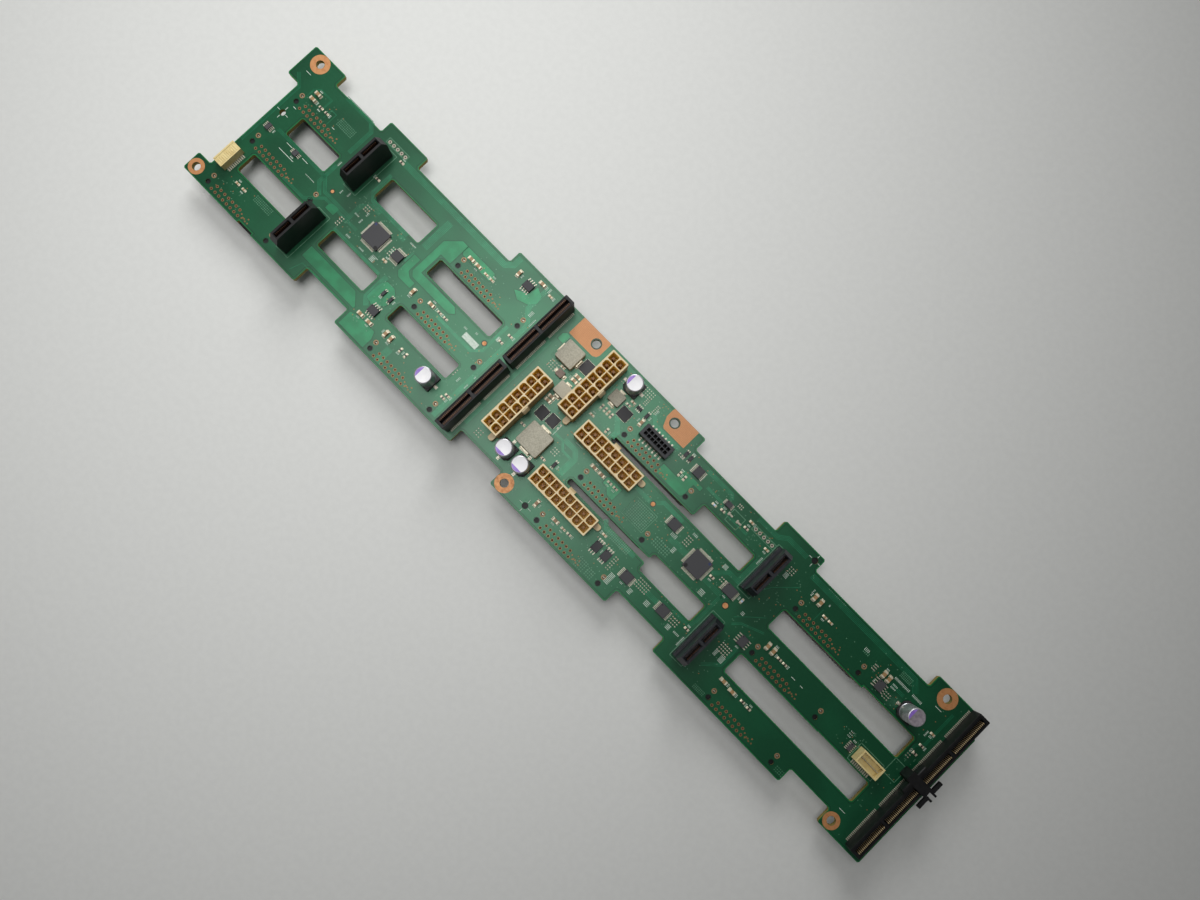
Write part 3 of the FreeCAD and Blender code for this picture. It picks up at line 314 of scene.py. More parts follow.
@dataclass(frozen=True)
class Brushed(Finish):
    """Metal with fine streaks along one axis and dull spots."""

    streak: tuple[float, float, float] = (0.1, 1.0, 1.0)

    def paint(self, graph: Graph) -> None:
        """Mix two colours by streaks, and dull the metal where they are strong.

        Args:
            graph: the material's nodes.
        """
        streaks = graph.noise(self.grain, 2.0, self.streak)
        spots = graph.noise(self.patch, 4.0).ramp(0.4, 0.7)
        share = streaks * 0.5 + spots * 0.5
        graph.set(Base_Color=graph.mix(share, linear(self.colour), linear(self.wander)),
                  Roughness=self.roughness + spots * 0.12 + (streaks - 0.5) * 0.1,
                  Normal=graph.bump(streaks, self.depth))


@dataclass(frozen=True)
class Printed(Finish):
    """Copper with a fine square grid pressed into it, as paste leaves it."""

    cell: float = 0.55

    def paint(self, graph: Graph) -> None:
        """Darken the lines between square cells: a wave along X and one along Y, both cut off low.

        Args:
            graph: the material's nodes.
        """
        place = graph.place()
        turns = 2 * math.pi / (self.cell * MM)
        waves = [graph.node("ShaderNodeMath", {"operation": "COSINE"}, {0: graph.axis(place, name) * turns})
                 for name in "XY"]
        higher = graph.node("ShaderNodeMath", {"operation": "MAXIMUM"}, dict(enumerate(waves)))
        gaps = higher.ramp(0.55, 0.95)
        spots = graph.noise(self.patch, 3.0)
        share = gaps * 0.6 + spots * 0.3
        graph.set(Base_Color=graph.mix(share, linear(self.colour), linear(self.wander)),
                  Roughness=self.roughness + gaps * 0.2, Normal=graph.bump(1 - gaps, self.depth))


MASK = SolderMask("green_solder_mask", (5, 77, 46), (13, 94, 58), roughness=0.32, metallic=0.32, shine=0.62,
                  depth=0.012)
POUR = Finish("mask_over_copper_pour", (20, 118, 74), (12, 103, 63), 0.34, 0.32, 0.62, patch=6.0, grain=0.6)
TRACK = Finish("mask_over_track", (30, 122, 84), (20, 106, 70), 0.32, 0.32, 0.62, patch=4.0, grain=0.4)
GAP = Finish("mask_over_bare_laminate", (3, 48, 28), (5, 56, 34), 0.36, shine=0.38, patch=4.0, grain=0.4)
RIM = Finish("mask_at_the_edge", (14, 116, 60), (8, 100, 48), 0.36, shine=0.38, patch=5.0, grain=0.4)
VIA = Finish("tented_via", (104, 158, 126), (78, 136, 102), 0.36, patch=2.0, grain=0.2)
LOCK = Brushed("tinned_lock_ring", (156, 132, 98), (118, 92, 62), 0.42, 0.3, patch=0.5, grain=0.2,
               depth=0.01)
COPPER = Brushed("bare_copper_land", (208, 150, 98), (178, 118, 72), 0.45, 0.35, patch=1.6, grain=0.3,
                 depth=0.012)
PASTED = Printed("pasted_copper_land", (214, 158, 112), (168, 112, 72), 0.5, 0.3, patch=2.5, depth=0.02)
PLATING = Brushed("plated_hole_ring", (172, 126, 82), (136, 94, 56), 0.42, 0.4, patch=0.6, grain=0.1,
                  depth=0.005)
HOLE = Finish("hole_shadow", (34, 18, 10), (52, 26, 14), 0.8, grain=0.3)
CAP_END = Brushed("chip_end_cap", (222, 214, 190), (196, 186, 160), 0.36, 0.3, patch=0.8, grain=0.2,
                  depth=0.01)
SOLDER = Brushed("bright_solder", (190, 186, 170), (158, 152, 134), 0.34, 0.55, patch=0.8, grain=0.2,
                 depth=0.01)
# Power header pins painted dark brown: painted shade for pins deep in the cavities.
PIN_TIP_PAINTED_SHADE = Brushed("shaded_pin_tip", (128, 92, 56), (98, 68, 40), 0.45, 0.3, patch=0.6, grain=0.12,
                  depth=0.004)
TINNED = Brushed("tinned_lead", (204, 200, 182), (170, 166, 150), 0.36, 0.4, patch=0.7, grain=0.15,
                 depth=0.006)
GOLD = Brushed("gold_flash", (222, 198, 154), (192, 164, 116), 0.36, 0.4, patch=0.6, grain=0.12,
               depth=0.005)
# Contact metal painted dark brown: painted shade for springs down in socket slots and for the receptacles'
# pin tips in their holes.
CONTACT_PAINTED_SHADE = Brushed("shaded_spring_contact", (122, 84, 58), (88, 58, 40), 0.4, 0.5, patch=0.6, grain=0.12,
                 depth=0.005)
SILK = Finish("white_screen_ink", (216, 228, 216), (190, 208, 192), 0.6, patch=0.8, grain=0.12, depth=0.01)
FAINT = Finish("thin_screen_ink", (104, 152, 122), (80, 130, 98), 0.6, patch=0.8, grain=0.12, depth=0.01)
BLACK = Finish("black_nylon", (14, 14, 15), (22, 22, 23), 0.46, shine=0.3, patch=2.5, grain=0.12,
               depth=0.006)
SLATE = Finish("slate_socket_plastic", (24, 26, 30), (33, 36, 41), 0.42, shine=0.35, patch=3.0,
               grain=0.12, depth=0.006)
CREAM = Finish("natural_nylon", (228, 208, 166), (216, 192, 146), 0.42, patch=4.0, grain=0.3, depth=0.008)
# Cavity walls: the cream nylon painted bright amber, a painted glow of light passing through the walls.
NYLON_WALL_PAINTED_GLOW = Finish("nylon_cavity_wall_painted_glow", (255, 222, 116), (246, 206, 96), 0.45, patch=2.2, grain=0.3,
               depth=0.008)
# Cavity floors: the same nylon painted a darker amber, painted glow with painted shade at the bottom of each
# cavity.
NYLON_FLOOR_PAINTED_GLOW_AND_SHADE = Finish("nylon_cavity_floor_painted_glow_and_shade", (242, 196, 92), (226, 176, 74), 0.5, patch=1.6, grain=0.3,
                     depth=0.008)
# Outer walls and ribs: the cream nylon painted darker tan, painted shade on the sides away from the light.
NYLON_SIDE_PAINTED_SHADE = Finish("nylon_side_wall_painted_shade", (198, 168, 112), (184, 152, 96), 0.45, patch=5.0, grain=0.3, depth=0.01)
IVORY = Finish("ivory_nylon", (226, 208, 150), (216, 194, 134), 0.42, patch=2.5, grain=0.25, depth=0.008)
CAN = Brushed("drawn_can", (200, 200, 204), (166, 166, 172), 0.28, 0.7, patch=2.0, grain=0.2,
              streak=(1.0, 1.0, 0.08), depth=0.004)
CAN_TOP = Finish("lacquered_can_top", (250, 249, 250), (243, 242, 245), 0.5, patch=3.0, grain=0.2)
# The fifth can's top painted grey-violet: painted shade for the can at the darker end of the board.
CAN_TOP_PAINTED_SHADE = Finish("can_top_painted_shade", (150, 142, 148), (128, 120, 128), 0.5, patch=1.2, grain=0.3, depth=0.01)
MARK = Finish("polarity_ink", (160, 126, 214), (138, 102, 196), 0.4, patch=2.0)
BASE = Finish("black_can_base", (26, 26, 28), (36, 36, 38), 0.55, patch=1.5)
POWDER = Finish("pressed_powder", (186, 182, 164), (162, 158, 140), 0.62, patch=0.5, grain=0.25, depth=0.03)
UMBER = Finish("brown_pressed_powder", (138, 122, 110), (118, 102, 92), 0.6, patch=0.5, grain=0.25,
               depth=0.03)
EPOXY = Finish("chip_epoxy", (27, 26, 24), (36, 35, 32), 0.5, shine=0.3, patch=1.5, grain=0.12, depth=0.008)
DOT = Finish("blue_index_dot", (24, 44, 96), (20, 36, 80), 0.4, patch=0.5)
TAN = Finish("tan_ceramic", (168, 134, 92), (150, 116, 76), 0.42, patch=0.7, grain=0.1)
UMBRA = Finish("dark_ceramic", (60, 46, 38), (44, 34, 30), 0.4, patch=0.7, grain=0.1)
OPAL = Finish("opal_lamp_lens", (214, 226, 240), (150, 186, 230), 0.25, patch=0.7)

SLOT_FINISH = {
    "board_laminate": MASK, "receptacle_plastic": BLACK, "socket_plastic": BLACK, "header_plastic": IVORY,
    "gold_contact": GOLD, "tinned_metal": TINNED, "capacitor_can": CAN, "coil_moulding": POWDER,
    "chip_epoxy": EPOXY, "chip_ceramic": TAN,
}
# The power header pins take the painted shade of the cavities.
NODE_FINISH = {"card_socket_3": SLATE, "card_socket_4": SLATE,
               **{f"power_header_pins_{n}": PIN_TIP_PAINTED_SHADE for n in (1, 2, 3, 4)}}


# ------------ forms

class Form:
    """Points in millimetres on the drive grid, and faces that each carry a finish's number."""

    def __init__(self, points: np.ndarray, patches: list[tuple[np.ndarray, int]]) -> None:
        """Hold points as rows, and patches of faces that have equally many corners."""
        self.points = np.asarray(points, float).reshape(-1, 3)
        self.patches = patches

    def __add__(self, other: Form) -> Form:
        """Return both forms as one."""
        return Form.joined([self, other])

    @staticmethod
    def joined(forms: Sequence[Form]) -> Form:
        """Join several forms, with each one's corner numbers moved past those before it.

        Args:
            forms: the forms.

        Returns:
            One form.
        """
        starts = np.cumsum([0] + [len(form.points) for form in forms])
        patches = [(faces + start, paint) for form, start in zip(forms, starts)
                   for faces, paint in form.patches]
        return Form(np.concatenate([form.points for form in forms]), patches)

    def moved(self, x: float = 0.0, y: float = 0.0, z: float = 0.0) -> Form:
        """Return the form moved."""
        return Form(self.points + (x, y, z), self.patches)

    def turned(self, degrees: float) -> Form:
        """Turn the form about Z: x' = x cos a - y sin a, y' = x sin a + y cos a.

        Args:
            degrees: the angle a, counter-clockwise from above.

        Returns:
            The turned form.
        """
        a = math.radians(degrees)
        turn = np.array([[math.cos(a), math.sin(a), 0], [-math.sin(a), math.cos(a), 0], [0, 0, 1]])
        return Form(self.points @ turn, self.patches)

    def upright(self) -> Form:
        """Return the form tipped a quarter turn about X, so that its outline stands along Z."""
        return Form(self.points[:, [0, 2, 1]] * (1, -1, 1), self.patches)

    def below(self) -> Form:
        """Return the form on the board's hidden side: z' = top + underside - z, faces turned over."""
        turned_over = [(faces[:, ::-1], paint) for faces, paint in self.patches]
        return Form(self.points * (1, 1, -1) + (0, 0, TOP + UNDER), turned_over)

    def on_both_sides(self) -> Form:
        """Return flat artwork on the populated side and on the hidden one."""
        return self + self.below()

    def on_board(self, middle: np.ndarray) -> Form:
        """Return the form stood on the board, about a middle in X and Y."""
        return self.moved(middle[0], middle[1], TOP)

    def at(self, places: np.ndarray) -> Form:
        """Return a copy at each place: points of copy k are the points plus place k.

        Args:
            places: rows of x, y and z, or of x and y.

        Returns:
            All copies as one form.
        """
        places = np.asarray(places, float)
        if places.shape[1] == 2:
            places = np.column_stack([places, np.zeros(len(places))])
        points = (places[:, None, :] + self.points[None]).reshape(-1, 3)
        starts = np.arange(len(places)) * len(self.points)
        patches = [((starts[:, None, None] + faces[None]).reshape(-1, faces.shape[1]), paint)
                   for faces, paint in self.patches]
        return Form(points, patches)

    def piece(self, name: str, finishes: Sequence[Finish], slot: str,
              hides: Sequence[str] = ()) -> bpy.types.Object:
        """Return the form as an object in the row frame, riding on the board.

        Args:
            name: the piece's name.
            finishes: one for each finish number of the faces.
            slot: the record's material slot; not used.
            hides: CAD nodes that it stands for.

        Returns:
            The new object.
        """
        mesh = bpy.data.meshes.new(name)
        corners = [face for faces, _ in self.patches for face in faces.tolist()]
        mesh.from_pydata((self.points + GRID) * MM, [], corners)
        for finish in finishes:
            mesh.materials.append(finish.material())
        paints = np.concatenate([np.full(len(faces), paint, np.int32) for faces, paint in self.patches])
        mesh.polygons.foreach_set("material_index", paints)
        mesh.polygons.foreach_set("use_smooth", np.ones(len(paints), bool))
        mesh.set_sharp_from_angle(angle=CREASE)
        mesh.update()
        made = bpy.data.objects.new(name, mesh)
        bpy.context.scene.collection.objects.link(made)
        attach(made, "root")
        if hides:
            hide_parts(*hides)
        return made


def rounded(half_x: float, half_y: float, radii: float | Sequence[float] = 0.0, steps: int = 1) -> Outline:
    """Return a rectangle's outline with rounded corners, counter-clockwise.

    Each corner is an arc about (half - radius) of that corner: centre + radius (cos t, sin t), with t
    running a quarter turn. One step makes a straight cut corner.

    Args:
        half_x: half of its length.
        half_y: half of its width.
        radii: one radius, or four from the corner at +X +Y on, counter-clockwise.
        steps: the arc's straight pieces.

    Returns:
        Rows of x and y.
    """
    radii = np.maximum(np.broadcast_to(np.asarray(radii, float), 4), 1e-3)[:, None]
    signs = np.array([(1, 1), (-1, 1), (-1, -1), (1, -1)], float)
    centres = signs * (np.array([half_x, half_y]) - radii)
    turn = (np.arange(4)[:, None] + np.linspace(0, 1, steps + 1)[None]) * (math.pi / 2)
    arcs = centres[:, None, :] + radii[:, :, None] * np.stack([np.cos(turn), np.sin(turn)], -1)
    return arcs.reshape(-1, 2)


def ring(radius: float, steps: int = 24) -> Outline:
    """Return a circle's outline: radius (cos t, sin t), counter-clockwise."""
    turn = np.arange(steps) * (2 * math.pi / steps)
    return radius * np.column_stack([np.cos(turn), np.sin(turn)])


def loft(outlines: Sequence[Outline], heights: Sequence[float], paints: int | Sequence[int] = 0,
         start: bool = True, end: bool = True) -> Form:
    """Return the skin through outlines with equally many points, each at its height.

    Quad i between outlines k and k + 1 joins their points i and i + 1. The first outline's cap looks
    down and the last one's looks up, also where the last is the floor of a hollow.

    Args:
        outlines: rows of x and y, counter-clockwise.
        heights: one for each outline.
        paints: one finish number, or one for each band and a last one for the end cap.
        start: whether to close the first outline.
        end: whether to close the last one.

    Returns:
        The form.
    """
    count = len(outlines[0])
    points = np.concatenate([np.column_stack([o, np.full(count, h)]) for o, h in zip(outlines, heights)])
    here = np.arange(count)
    there = (here + 1) % count
    quads = np.stack([here, there, there + count, here + count], -1)
    bands = len(outlines) - 1
    paints = [paints] * (bands + 1) if isinstance(paints, int) else list(paints)
    patches = [(quads + k * count, paints[k]) for k in range(bands)]
    if start:
        patches.append((here[::-1][None], paints[0]))
    if end:
        patches.append((here[None] + bands * count, paints[-1]))
    return Form(points, patches)


def slab(size_x: float, size_y: float, low: float, high: float, bevel: float = 0.05, paint: int = 0) -> Form:
    """Return a block about the Z axis with its top edges bevelled: a loft of three rectangles.

    Args:
        size_x: its length.
        size_y: its width.
        low: the height of its foot.
        high: the height of its top.
        bevel: the bevel's size, also at its upright edges.
        paint: the finish number.

    Returns:
        The form.
    """
    half_x, half_y = size_x / 2, size_y / 2
    full, inner = rounded(half_x, half_y, bevel), rounded(half_x - bevel, half_y - bevel, bevel)
    return loft([full, full, inner], [low, high - bevel, high], paint)


def plate(outline: Sequence[Sequence[float]] | Outline, height: float, paint: int = 0) -> Form:
    """Return a flat face that looks up at a height."""
    return loft([np.asarray(outline, float)], [height], paint, start=False)


def annulus(outer: Outline, inner: Outline, height: float, paint: int = 0) -> Form:
    """Return the flat band between two outlines, looking up at a height."""
    return loft([outer, inner], [height, height], paint, start=False, end=False)


def disc(radius: float, steps: int, height: float, paint: int = 0) -> Form:
    """Return a flat disc that looks up at a height."""
    return plate(ring(radius, steps), height, paint)


def washer(outer: float, inner: float, steps: int, height: float, paint: int = 0) -> Form:
    """Return the flat band between two circles, looking up at a height."""
    return annulus(ring(outer, steps), ring(inner, steps), height, paint)


def eyelet(outer: float, inner: float, steps: int, height: float, paint: int = 0) -> Form:
    """Return a washer with a disc in finish 1 for its hole."""
    return washer(outer, inner, steps, height, paint) + disc(inner, steps, height, 1)


def band(path: Sequence[Sequence[float]], width: float, height: float, paint: int = 0,
         shift: float = 0.0) -> Form:
    """Return a flat line of even width along a path.

    Each corner moves sideways along the mean of its two runs' normals, divided by one plus the
    cosine of the angle between them, which keeps both runs' width.

    Args:
        path: rows of x and y.
        width: the line's width.
        height: its place in Z.
        paint: the finish number.
        shift: how far the line lies to the left of the path.

    Returns:
        The form.
    """
    path = np.asarray(path, float)
    runs = np.diff(path, axis=0)
    runs /= np.linalg.norm(runs, axis=1)[:, None]
    normals = np.column_stack([-runs[:, 1], runs[:, 0]])
    before, after = np.vstack([normals[:1], normals]), np.vstack([normals, normals[-1:]])
    sideways = (before + after) / (1 + (before * after).sum(1))[:, None]
    points = np.vstack([path + sideways * (shift - width / 2), path + sideways * (shift + width / 2)])
    here = np.arange(len(path) - 1)
    faces = np.stack([here, here + 1, here + 1 + len(path), here + len(path)], -1)
    return Form(np.column_stack([points, np.full(len(points), height)]), [(faces, paint)])


def bent(path: Sequence[Sequence[float]], thickness: float, width: float, paint: int = 0) -> Form:
    """Return a bent strip of metal: a path in X and Z, thickened, and carried across by a width.

    Args:
        path: rows of x and z along the strip's middle.
        thickness: the metal's thickness.
        width: the strip's width, along Y.
        paint: the finish number.

    Returns:
        The form.
    """
    side = band(path, thickness, 0.0).points[:, :2]
    count = len(side) // 2
    outline = np.vstack([side[:count], side[count:][::-1]])
    return loft([outline, outline], [-width / 2, width / 2], paint).upright()


def rows(start: float, pitch: float, count: int) -> np.ndarray:
    """Return evenly spaced places."""
    return start + pitch * np.arange(count)


def centred(pitch: float, count: int) -> np.ndarray:
    """Return evenly spaced places about zero."""
    return (np.arange(count) - (count - 1) / 2) * pitch


def lattice(xs: Sequence[float], ys: Sequence[float]) -> np.ndarray:
    """Return every pair of an x and a y, as rows."""
    return np.stack(np.meshgrid(xs, ys), -1).reshape(-1, 2)


# ------------ what the frame gives

@dataclass(frozen=True)
class Box:
    """The box round a CAD node or one of its solids, in millimetres on the drive grid."""

    low: np.ndarray
    high: np.ndarray

    @property
    def middle(self) -> np.ndarray:
        """Return the box's middle."""
        return (self.low + self.high) / 2

    @property
    def size(self) -> np.ndarray:
        """Return the box's size along X, Y and Z."""
        return self.high - self.low


def span(node: str) -> Box:
    """Return a CAD node's box."""
    low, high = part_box(node)
    return Box(np.array(low) / MM - GRID, np.array(high) / MM - GRID)


def triangles(node: str, decimals: int) -> tuple[np.ndarray, np.ndarray]:
    """Read a CAD node's triangles, with points at one place joined into one.

    Args:
        node: the CAD node's name.
        decimals: the decimals of a millimetre in which points at one place agree.

    Returns:
        The points in millimetres on the drive grid, and each triangle's three point numbers.
    """
    mesh = frame["nodes"][node].data
    points = np.empty(len(mesh.vertices) * 3)
    mesh.vertices.foreach_get("co", points)
    mesh.calc_loop_triangles()
    faces = np.empty(len(mesh.loop_triangles) * 3, np.int32)
    mesh.loop_triangles.foreach_get("vertices", faces)
    rounded_off = np.round(points.reshape(-1, 3) / MM - GRID, decimals)
    places, number = np.unique(rounded_off, axis=0, return_inverse=True)
    return places, number.reshape(-1)[faces].reshape(-1, 3)


def solids(node: str) -> list[Box]:
    """Find the separate solids of a CAD node.

    Each face passes its lowest point number to its corners until nothing changes, and each solid's
    box is the least and greatest of the points that ended with one number.

    Args:
        node: the CAD node's name.

    Returns:
        The solids' boxes, ordered by X.
    """
    places, faces = triangles(node, 4)
    label = np.arange(len(places))
    while True:
        least = label[faces].min(1)
        passed = label.copy()
        np.minimum.at(passed, faces.reshape(-1), np.repeat(least, 3))
        if (passed == label).all():
            break
        label = passed
    _, solid = np.unique(label, return_inverse=True)
    count = solid.max() + 1
    low, high = np.full((count, 3), np.inf), np.full((count, 3), -np.inf)
    np.minimum.at(low, solid, places)
    np.maximum.at(high, solid, places)
    order = np.argsort(low[:, 0] + high[:, 0], kind="stable")
    return [Box(low[k], high[k]) for k in order]


TOP = float(span("circuit_board").high[2])
UNDER = float(span("circuit_board").low[2])
SEAT = TOP + 0.03


class Layer(Enum):
    """Heights above the board at which flat artwork lies, in millimetres."""

    EDGE = 0.01
    POUR = 0.014
    TRACK = 0.022
    VIA = 0.027
    LAND = 0.032
    PAD = 0.037
    INK = 0.044

    @property
    def height(self) -> float:
        """Return the layer's place in Z."""
        return TOP + self.value


# ------------ the artwork

@dataclass
class CopperPours:
    """Wide copper areas that show through the mask in a lighter green."""

    areas: tuple[Path, ...] = (
        ((-66.9, 11), (-64.6, 8.7), (-40.8, 8.7), (-38.5, 10.9), (-41, 13.2), (-63, 13.2), (-63, 25.2),
         (-57, 25.2), (-57, 30.4), (-57, 36.9), (-60.6, 36.9), (-66.9, 30.6)),
        ((-57, 33.2), (-56, 32.2), (-39, 32.2), (-37, 34.2), (-39.7, 36.9), (-57, 36.9)),
        ((-71.6, 6.4), (-69.4, 4.2), (-61.5, 4.2), (-61.5, 7.8), (-65, 7.8), (-67.6, 9.6), (-67.6, 17),
         (-71.6, 17)),
        ((-107, -20.3), (-72.6, -20.3), (-72.6, -18.9), (-77.6, -13.9), (-107, -13.9)),
        ((-72.6, -29.6), (-56.5, -29.6), (-56.5, -24), (-58, -20.6), (-68, -20.6), (-72.6, -22)),
        ((-116, 2.4), (-110.5, 2.4), (-110.5, 6.6), (-114.4, 6.6), (-116, 5)),
        ((75.5, 25.6), (90.8, 25.6), (91.8, 27), (91.8, 33.5), (95.8, 33.5), (95.8, 35.8), (84, 35.8),
         (84, 31), (75.5, 31)),
        ((1.4, 36.4), (5.2, 36.4), (5.2, 41.4), (3, 41.4), (1.4, 39.8)),
        ((-28.5, 38), (-24, 35.5), (-18.5, 37.5), (-16, 41), (-17, 44.6), (-21.4, 46.6), (-22.4, 41.4)),
        ((-67, -13.8), (-63, -9), (-63, -3), (-66, -0.6), (-70.8, -0.6), (-72.8, -4), (-72.8, -12)),
        ((67.6, 2.6), (71.2, 2.6), (71.2, 9.3), (62.4, 9.3), (62.4, 5.2), (65, 5.2)),
    )
    edge: float = 0.22
    lift: float = 0.003

    def build(self) -> Pieces:
        """Build the pours, each with a darker line round it where bare laminate shows.

        Returns:
            One piece, on both sides of the board.
        """
        above = Layer.POUR.height + self.lift
        pours = [plate(area, Layer.POUR.height) for area in self.areas]
        lines = [band([*area, area[0]], self.edge, above, 1) for area in self.areas]
        form = Form.joined(pours + lines).on_both_sides()
        return [form.piece("copper_pours", [POUR, GAP], "board_laminate")]


@dataclass
class Tracks:
    """Bundles of fine tracks under the mask."""

    width: float = 0.27
    bundles: tuple[tuple[Path, int, float], ...] = (
        (((-128, 28), (-128, 41.5), (-131, 44.4), (-147, 44.4)), 4, -0.55),
        (((-150.5, 34), (-150.5, 39.4), (-158, 39.4), (-160.6, 37), (-160.6, 31)), 2, 0.5),
        (((-147.5, 31), (-147.5, 36), (-144.2, 36), (-144.2, 29.6)), 1, 0.5),
        (((-165.6, -3), (-165.6, 33), (-171, 38.2)), 3, 0.6),
        (((-158, 13), (-126, 13), (-121, 8), (-106, 8)), 3, -0.6),
        (((-139.5, -2), (-126, -2), (-118.8, 5), (-98, 5)), 3, 0.5),
        (((-126, 20), (-126, 9.4), (-121.4, 5)), 4, -0.5),
        (((-106.5, 34.6), (-106.5, 23), (-103, 19.6), (-80, 19.6)), 4, 0.5),
        (((-96, 17.6), (-100.5, 17.6), (-104, 14.2), (-104, 4)), 4, -0.6),
        (((-83, 16.8), (-83, 19)), 8, -0.5),
        (((-80.6, 12), (-72.6, 12), (-72.6, 17)), 2, -0.5),
        (((-107, 44), (-40, 44), (-37.6, 46.2), (-37.6, 50.2)), 5, -0.6),
        (((-72.2, 38.6), (-72.2, 22)), 6, 0.6),
        (((-73.6, 0.6), (-73.6, -12.6), (-70.4, -16)), 5, 0.5),
        (((-106, -0.6), (-76, -0.6)), 3, -0.5),
        (((-106, -28.6), (-104, -22.4), (-75.6, -22.4)), 1, -0.6),
        (((-49, -21), (-49, -29.6)), 6, 0.6),
        (((-18.4, 50), (-18.4, 36), (-13, 30.4), (-13, -28)), 4, 0.6),
        (((-44, 4.8), (-22, 4.8), (-18.4, 8.4), (-18.4, 24)), 3, -0.5),
        (((-0.6, 33), (-0.6, -20)), 4, 0.55),
        (((36.8, 7.6), (44, 7.6), (47.6, 4), (47.6, -5.6)), 4, -0.6),
        (((31, 5.4), (36.6, 5.4), (39.8, 2.2), (45, 2.2), (45, -5.8)), 2, 0.6),
        (((44.6, 30.8), (50, 25.4), (50, 22.4)), 5, 0.5),
        (((57, 44.6), (61, 41), (76, 41)), 4, -0.5),
        (((74.6, 15.4), (84, 15.4), (88, 19.4), (100, 19.4)), 4, -0.5),
        (((76, -4.4), (78.6, -7), (96, -7)), 4, -0.5),
        (((92, 43.6), (107, 43.6), (109, 41.6)), 4, -0.5),
        (((96.8, 36.8), (105.6, 36.8), (108, 34.6), (124, 34.6)), 3, 0.5),
        (((101, 8.4), (112, 8.4)), 5, 0.6),
        (((124.4, 8.6), (134.6, 8.6), (137, 11)), 4, -0.6),
        (((124.4, 12.4), (130, 18.4), (134.8, 18.4), (134.8, 30.6)), 4, -0.55),
        (((104, -13.6), (118, -13.6)), 4, -0.6),
        (((125, -12.4), (134.6, -12.4), (135.6, -8), (135.6, 6), (137.4, 8.6)), 3, 0.6),
        (((122.6, 45), (134, 45), (138, 48), (150, 48)), 4, -0.6),
        (((144.6, 20), (148, 26.4), (157, 35.4)), 1, 0.5),
        (((145.4, 5.4), (149.6, 9.6), (155.8, 15.2)), 1, 0.5),
        (((147, 2.2), (150, 5.4), (160, 9.4)), 2, 0.6),
        (((150, -20), (156.6, -13.8), (156.6, -1)), 3, 0.6),
        (((157, 41.8), (220, 41.8), (224, 37.8)), 5, 0.6),
        (((171, 36), (171, 29.6)), 1, 0.5),
        (((213.6, 33.6), (222, 33.6)), 3, 0.6),
        (((240.6, 16), (240.6, 22.6), (243.4, 25.6), (243.4, 44)), 3, 0.5),
    )

    def build(self) -> Pieces:
        """Build every bundle: lines that lie side by side along its path, a pitch apart.

        Returns:
            One piece, on both sides of the board.
        """
        forms = [band(path, self.width, Layer.TRACK.height, 0, k * pitch)
                 for path, count, pitch in self.bundles for k in range(count)]
        return [Form.joined(forms).on_both_sides().piece("fine_tracks", [TRACK], "board_laminate")]


@dataclass
class Vias:
    """Small plated holes: regular fields, and a seeded scatter round the busy chips."""

    radius: float = 0.24
    dot: float = 0.45
    grid: float = 0.7
    seed: int = 12
    fields: tuple[tuple[float, float, int, float, float, int, float], ...] = (
        (-141, 0.9, 11, 33.2, 0.9, 5, 0.16), (-141, 0.9, 12, -18.4, 0.9, 4, 0.16),
        (79.6, 1, 11, 3, 1, 9, 0.24), (97, 1.2, 8, 2.2, 1.2, 4, 0.26),
        (80, 0.9, 15, -9.4, 0.9, 4, 0.24), (79.4, 1.1, 5, -29, 1.1, 5, 0.22),
        (85.6, 1.1, 4, -28.6, 1.1, 4, 0.22), (154, 0.8, 8, -28.9, 0.8, 3, 0.15),
        (214.6, 0.8, 8, 39.6, 0.8, 4, 0.18), (166.6, 0.9, 12, 44.2, 0.9, 2, 0.15),
        (204, 1, 10, -28.6, 1, 3, 0.15), (196, 0.9, 4, 35.6, 0.9, 2, 0.2),
    )
    scatters: tuple[tuple[float, float, float, float, int], ...] = (
        (-108, -70, 0, 20, 120), (-72, -60, -24, 2, 40), (-20, -11, -29, 50, 70),
        (2, 38, -20, 34, 90), (35, 56, -28, 50, 120), (56, 100, 34, 50, 90),
        (74, 100, -29, 19, 140), (100, 136, -20, 20, 170), (100, 136, 32, 44, 80),
        (145, 158, -28, 44, 90), (160, 200, 25, 36, 20), (203, 226, 26, 44, 40),
        (212, 224, -1, 9, 30), (238, 245, -28, 48, 40), (-160, -140, 26, 38, 30),
        (-160, -142, -28, -16, 30), (-50, -20, 25, 40, 40), (-50, -20, -28, 8, 50),
    )

    def spots(self) -> np.ndarray:
        """Draw the scattered vias' places evenly from each area, away from openings and holes.

        The places are rounded to an even grid, so that no two vias overlap, and then shuffled.

        Returns:
            Rows of x and y.
        """
        dice = np.random.default_rng(self.seed)
        draws = [dice.uniform((x0, y0), (x1, y1), (count, 2)) for x0, x1, y0, y1, count in self.scatters]
        places = np.unique(np.round(np.concatenate(draws) / self.grid) * self.grid, axis=0)
        dice.shuffle(places)
        return places[KEEPOUT.clear(places, self.grid)]

    def build(self) -> Pieces:
        """Build the vias: every fifth of the scatter bare, the others and the fields under the mask.

        Returns:
            One piece, on both sides of the board.
        """
        height, spots = Layer.VIA.height, self.spots()
        bare = len(spots) // 5
        forms = [eyelet(self.radius, self.radius * self.dot, 6, height, 2).at(spots[bare:]),
                 disc(self.radius, 8, height).at(spots[:bare])]
        for x, pitch_x, nx, y, pitch_y, ny, size in self.fields:
            places = lattice(rows(x, pitch_x, nx), rows(y, pitch_y, ny))
            mark = eyelet(size + 0.08, size * self.dot, 8, height + 0.002, 2)
            forms.append(mark.at(places[KEEPOUT.clear(places, 0.5)]))
        form = Form.joined(forms).on_both_sides()
        return [form.piece("vias", [PLATING, HOLE, VIA], "board_laminate")]


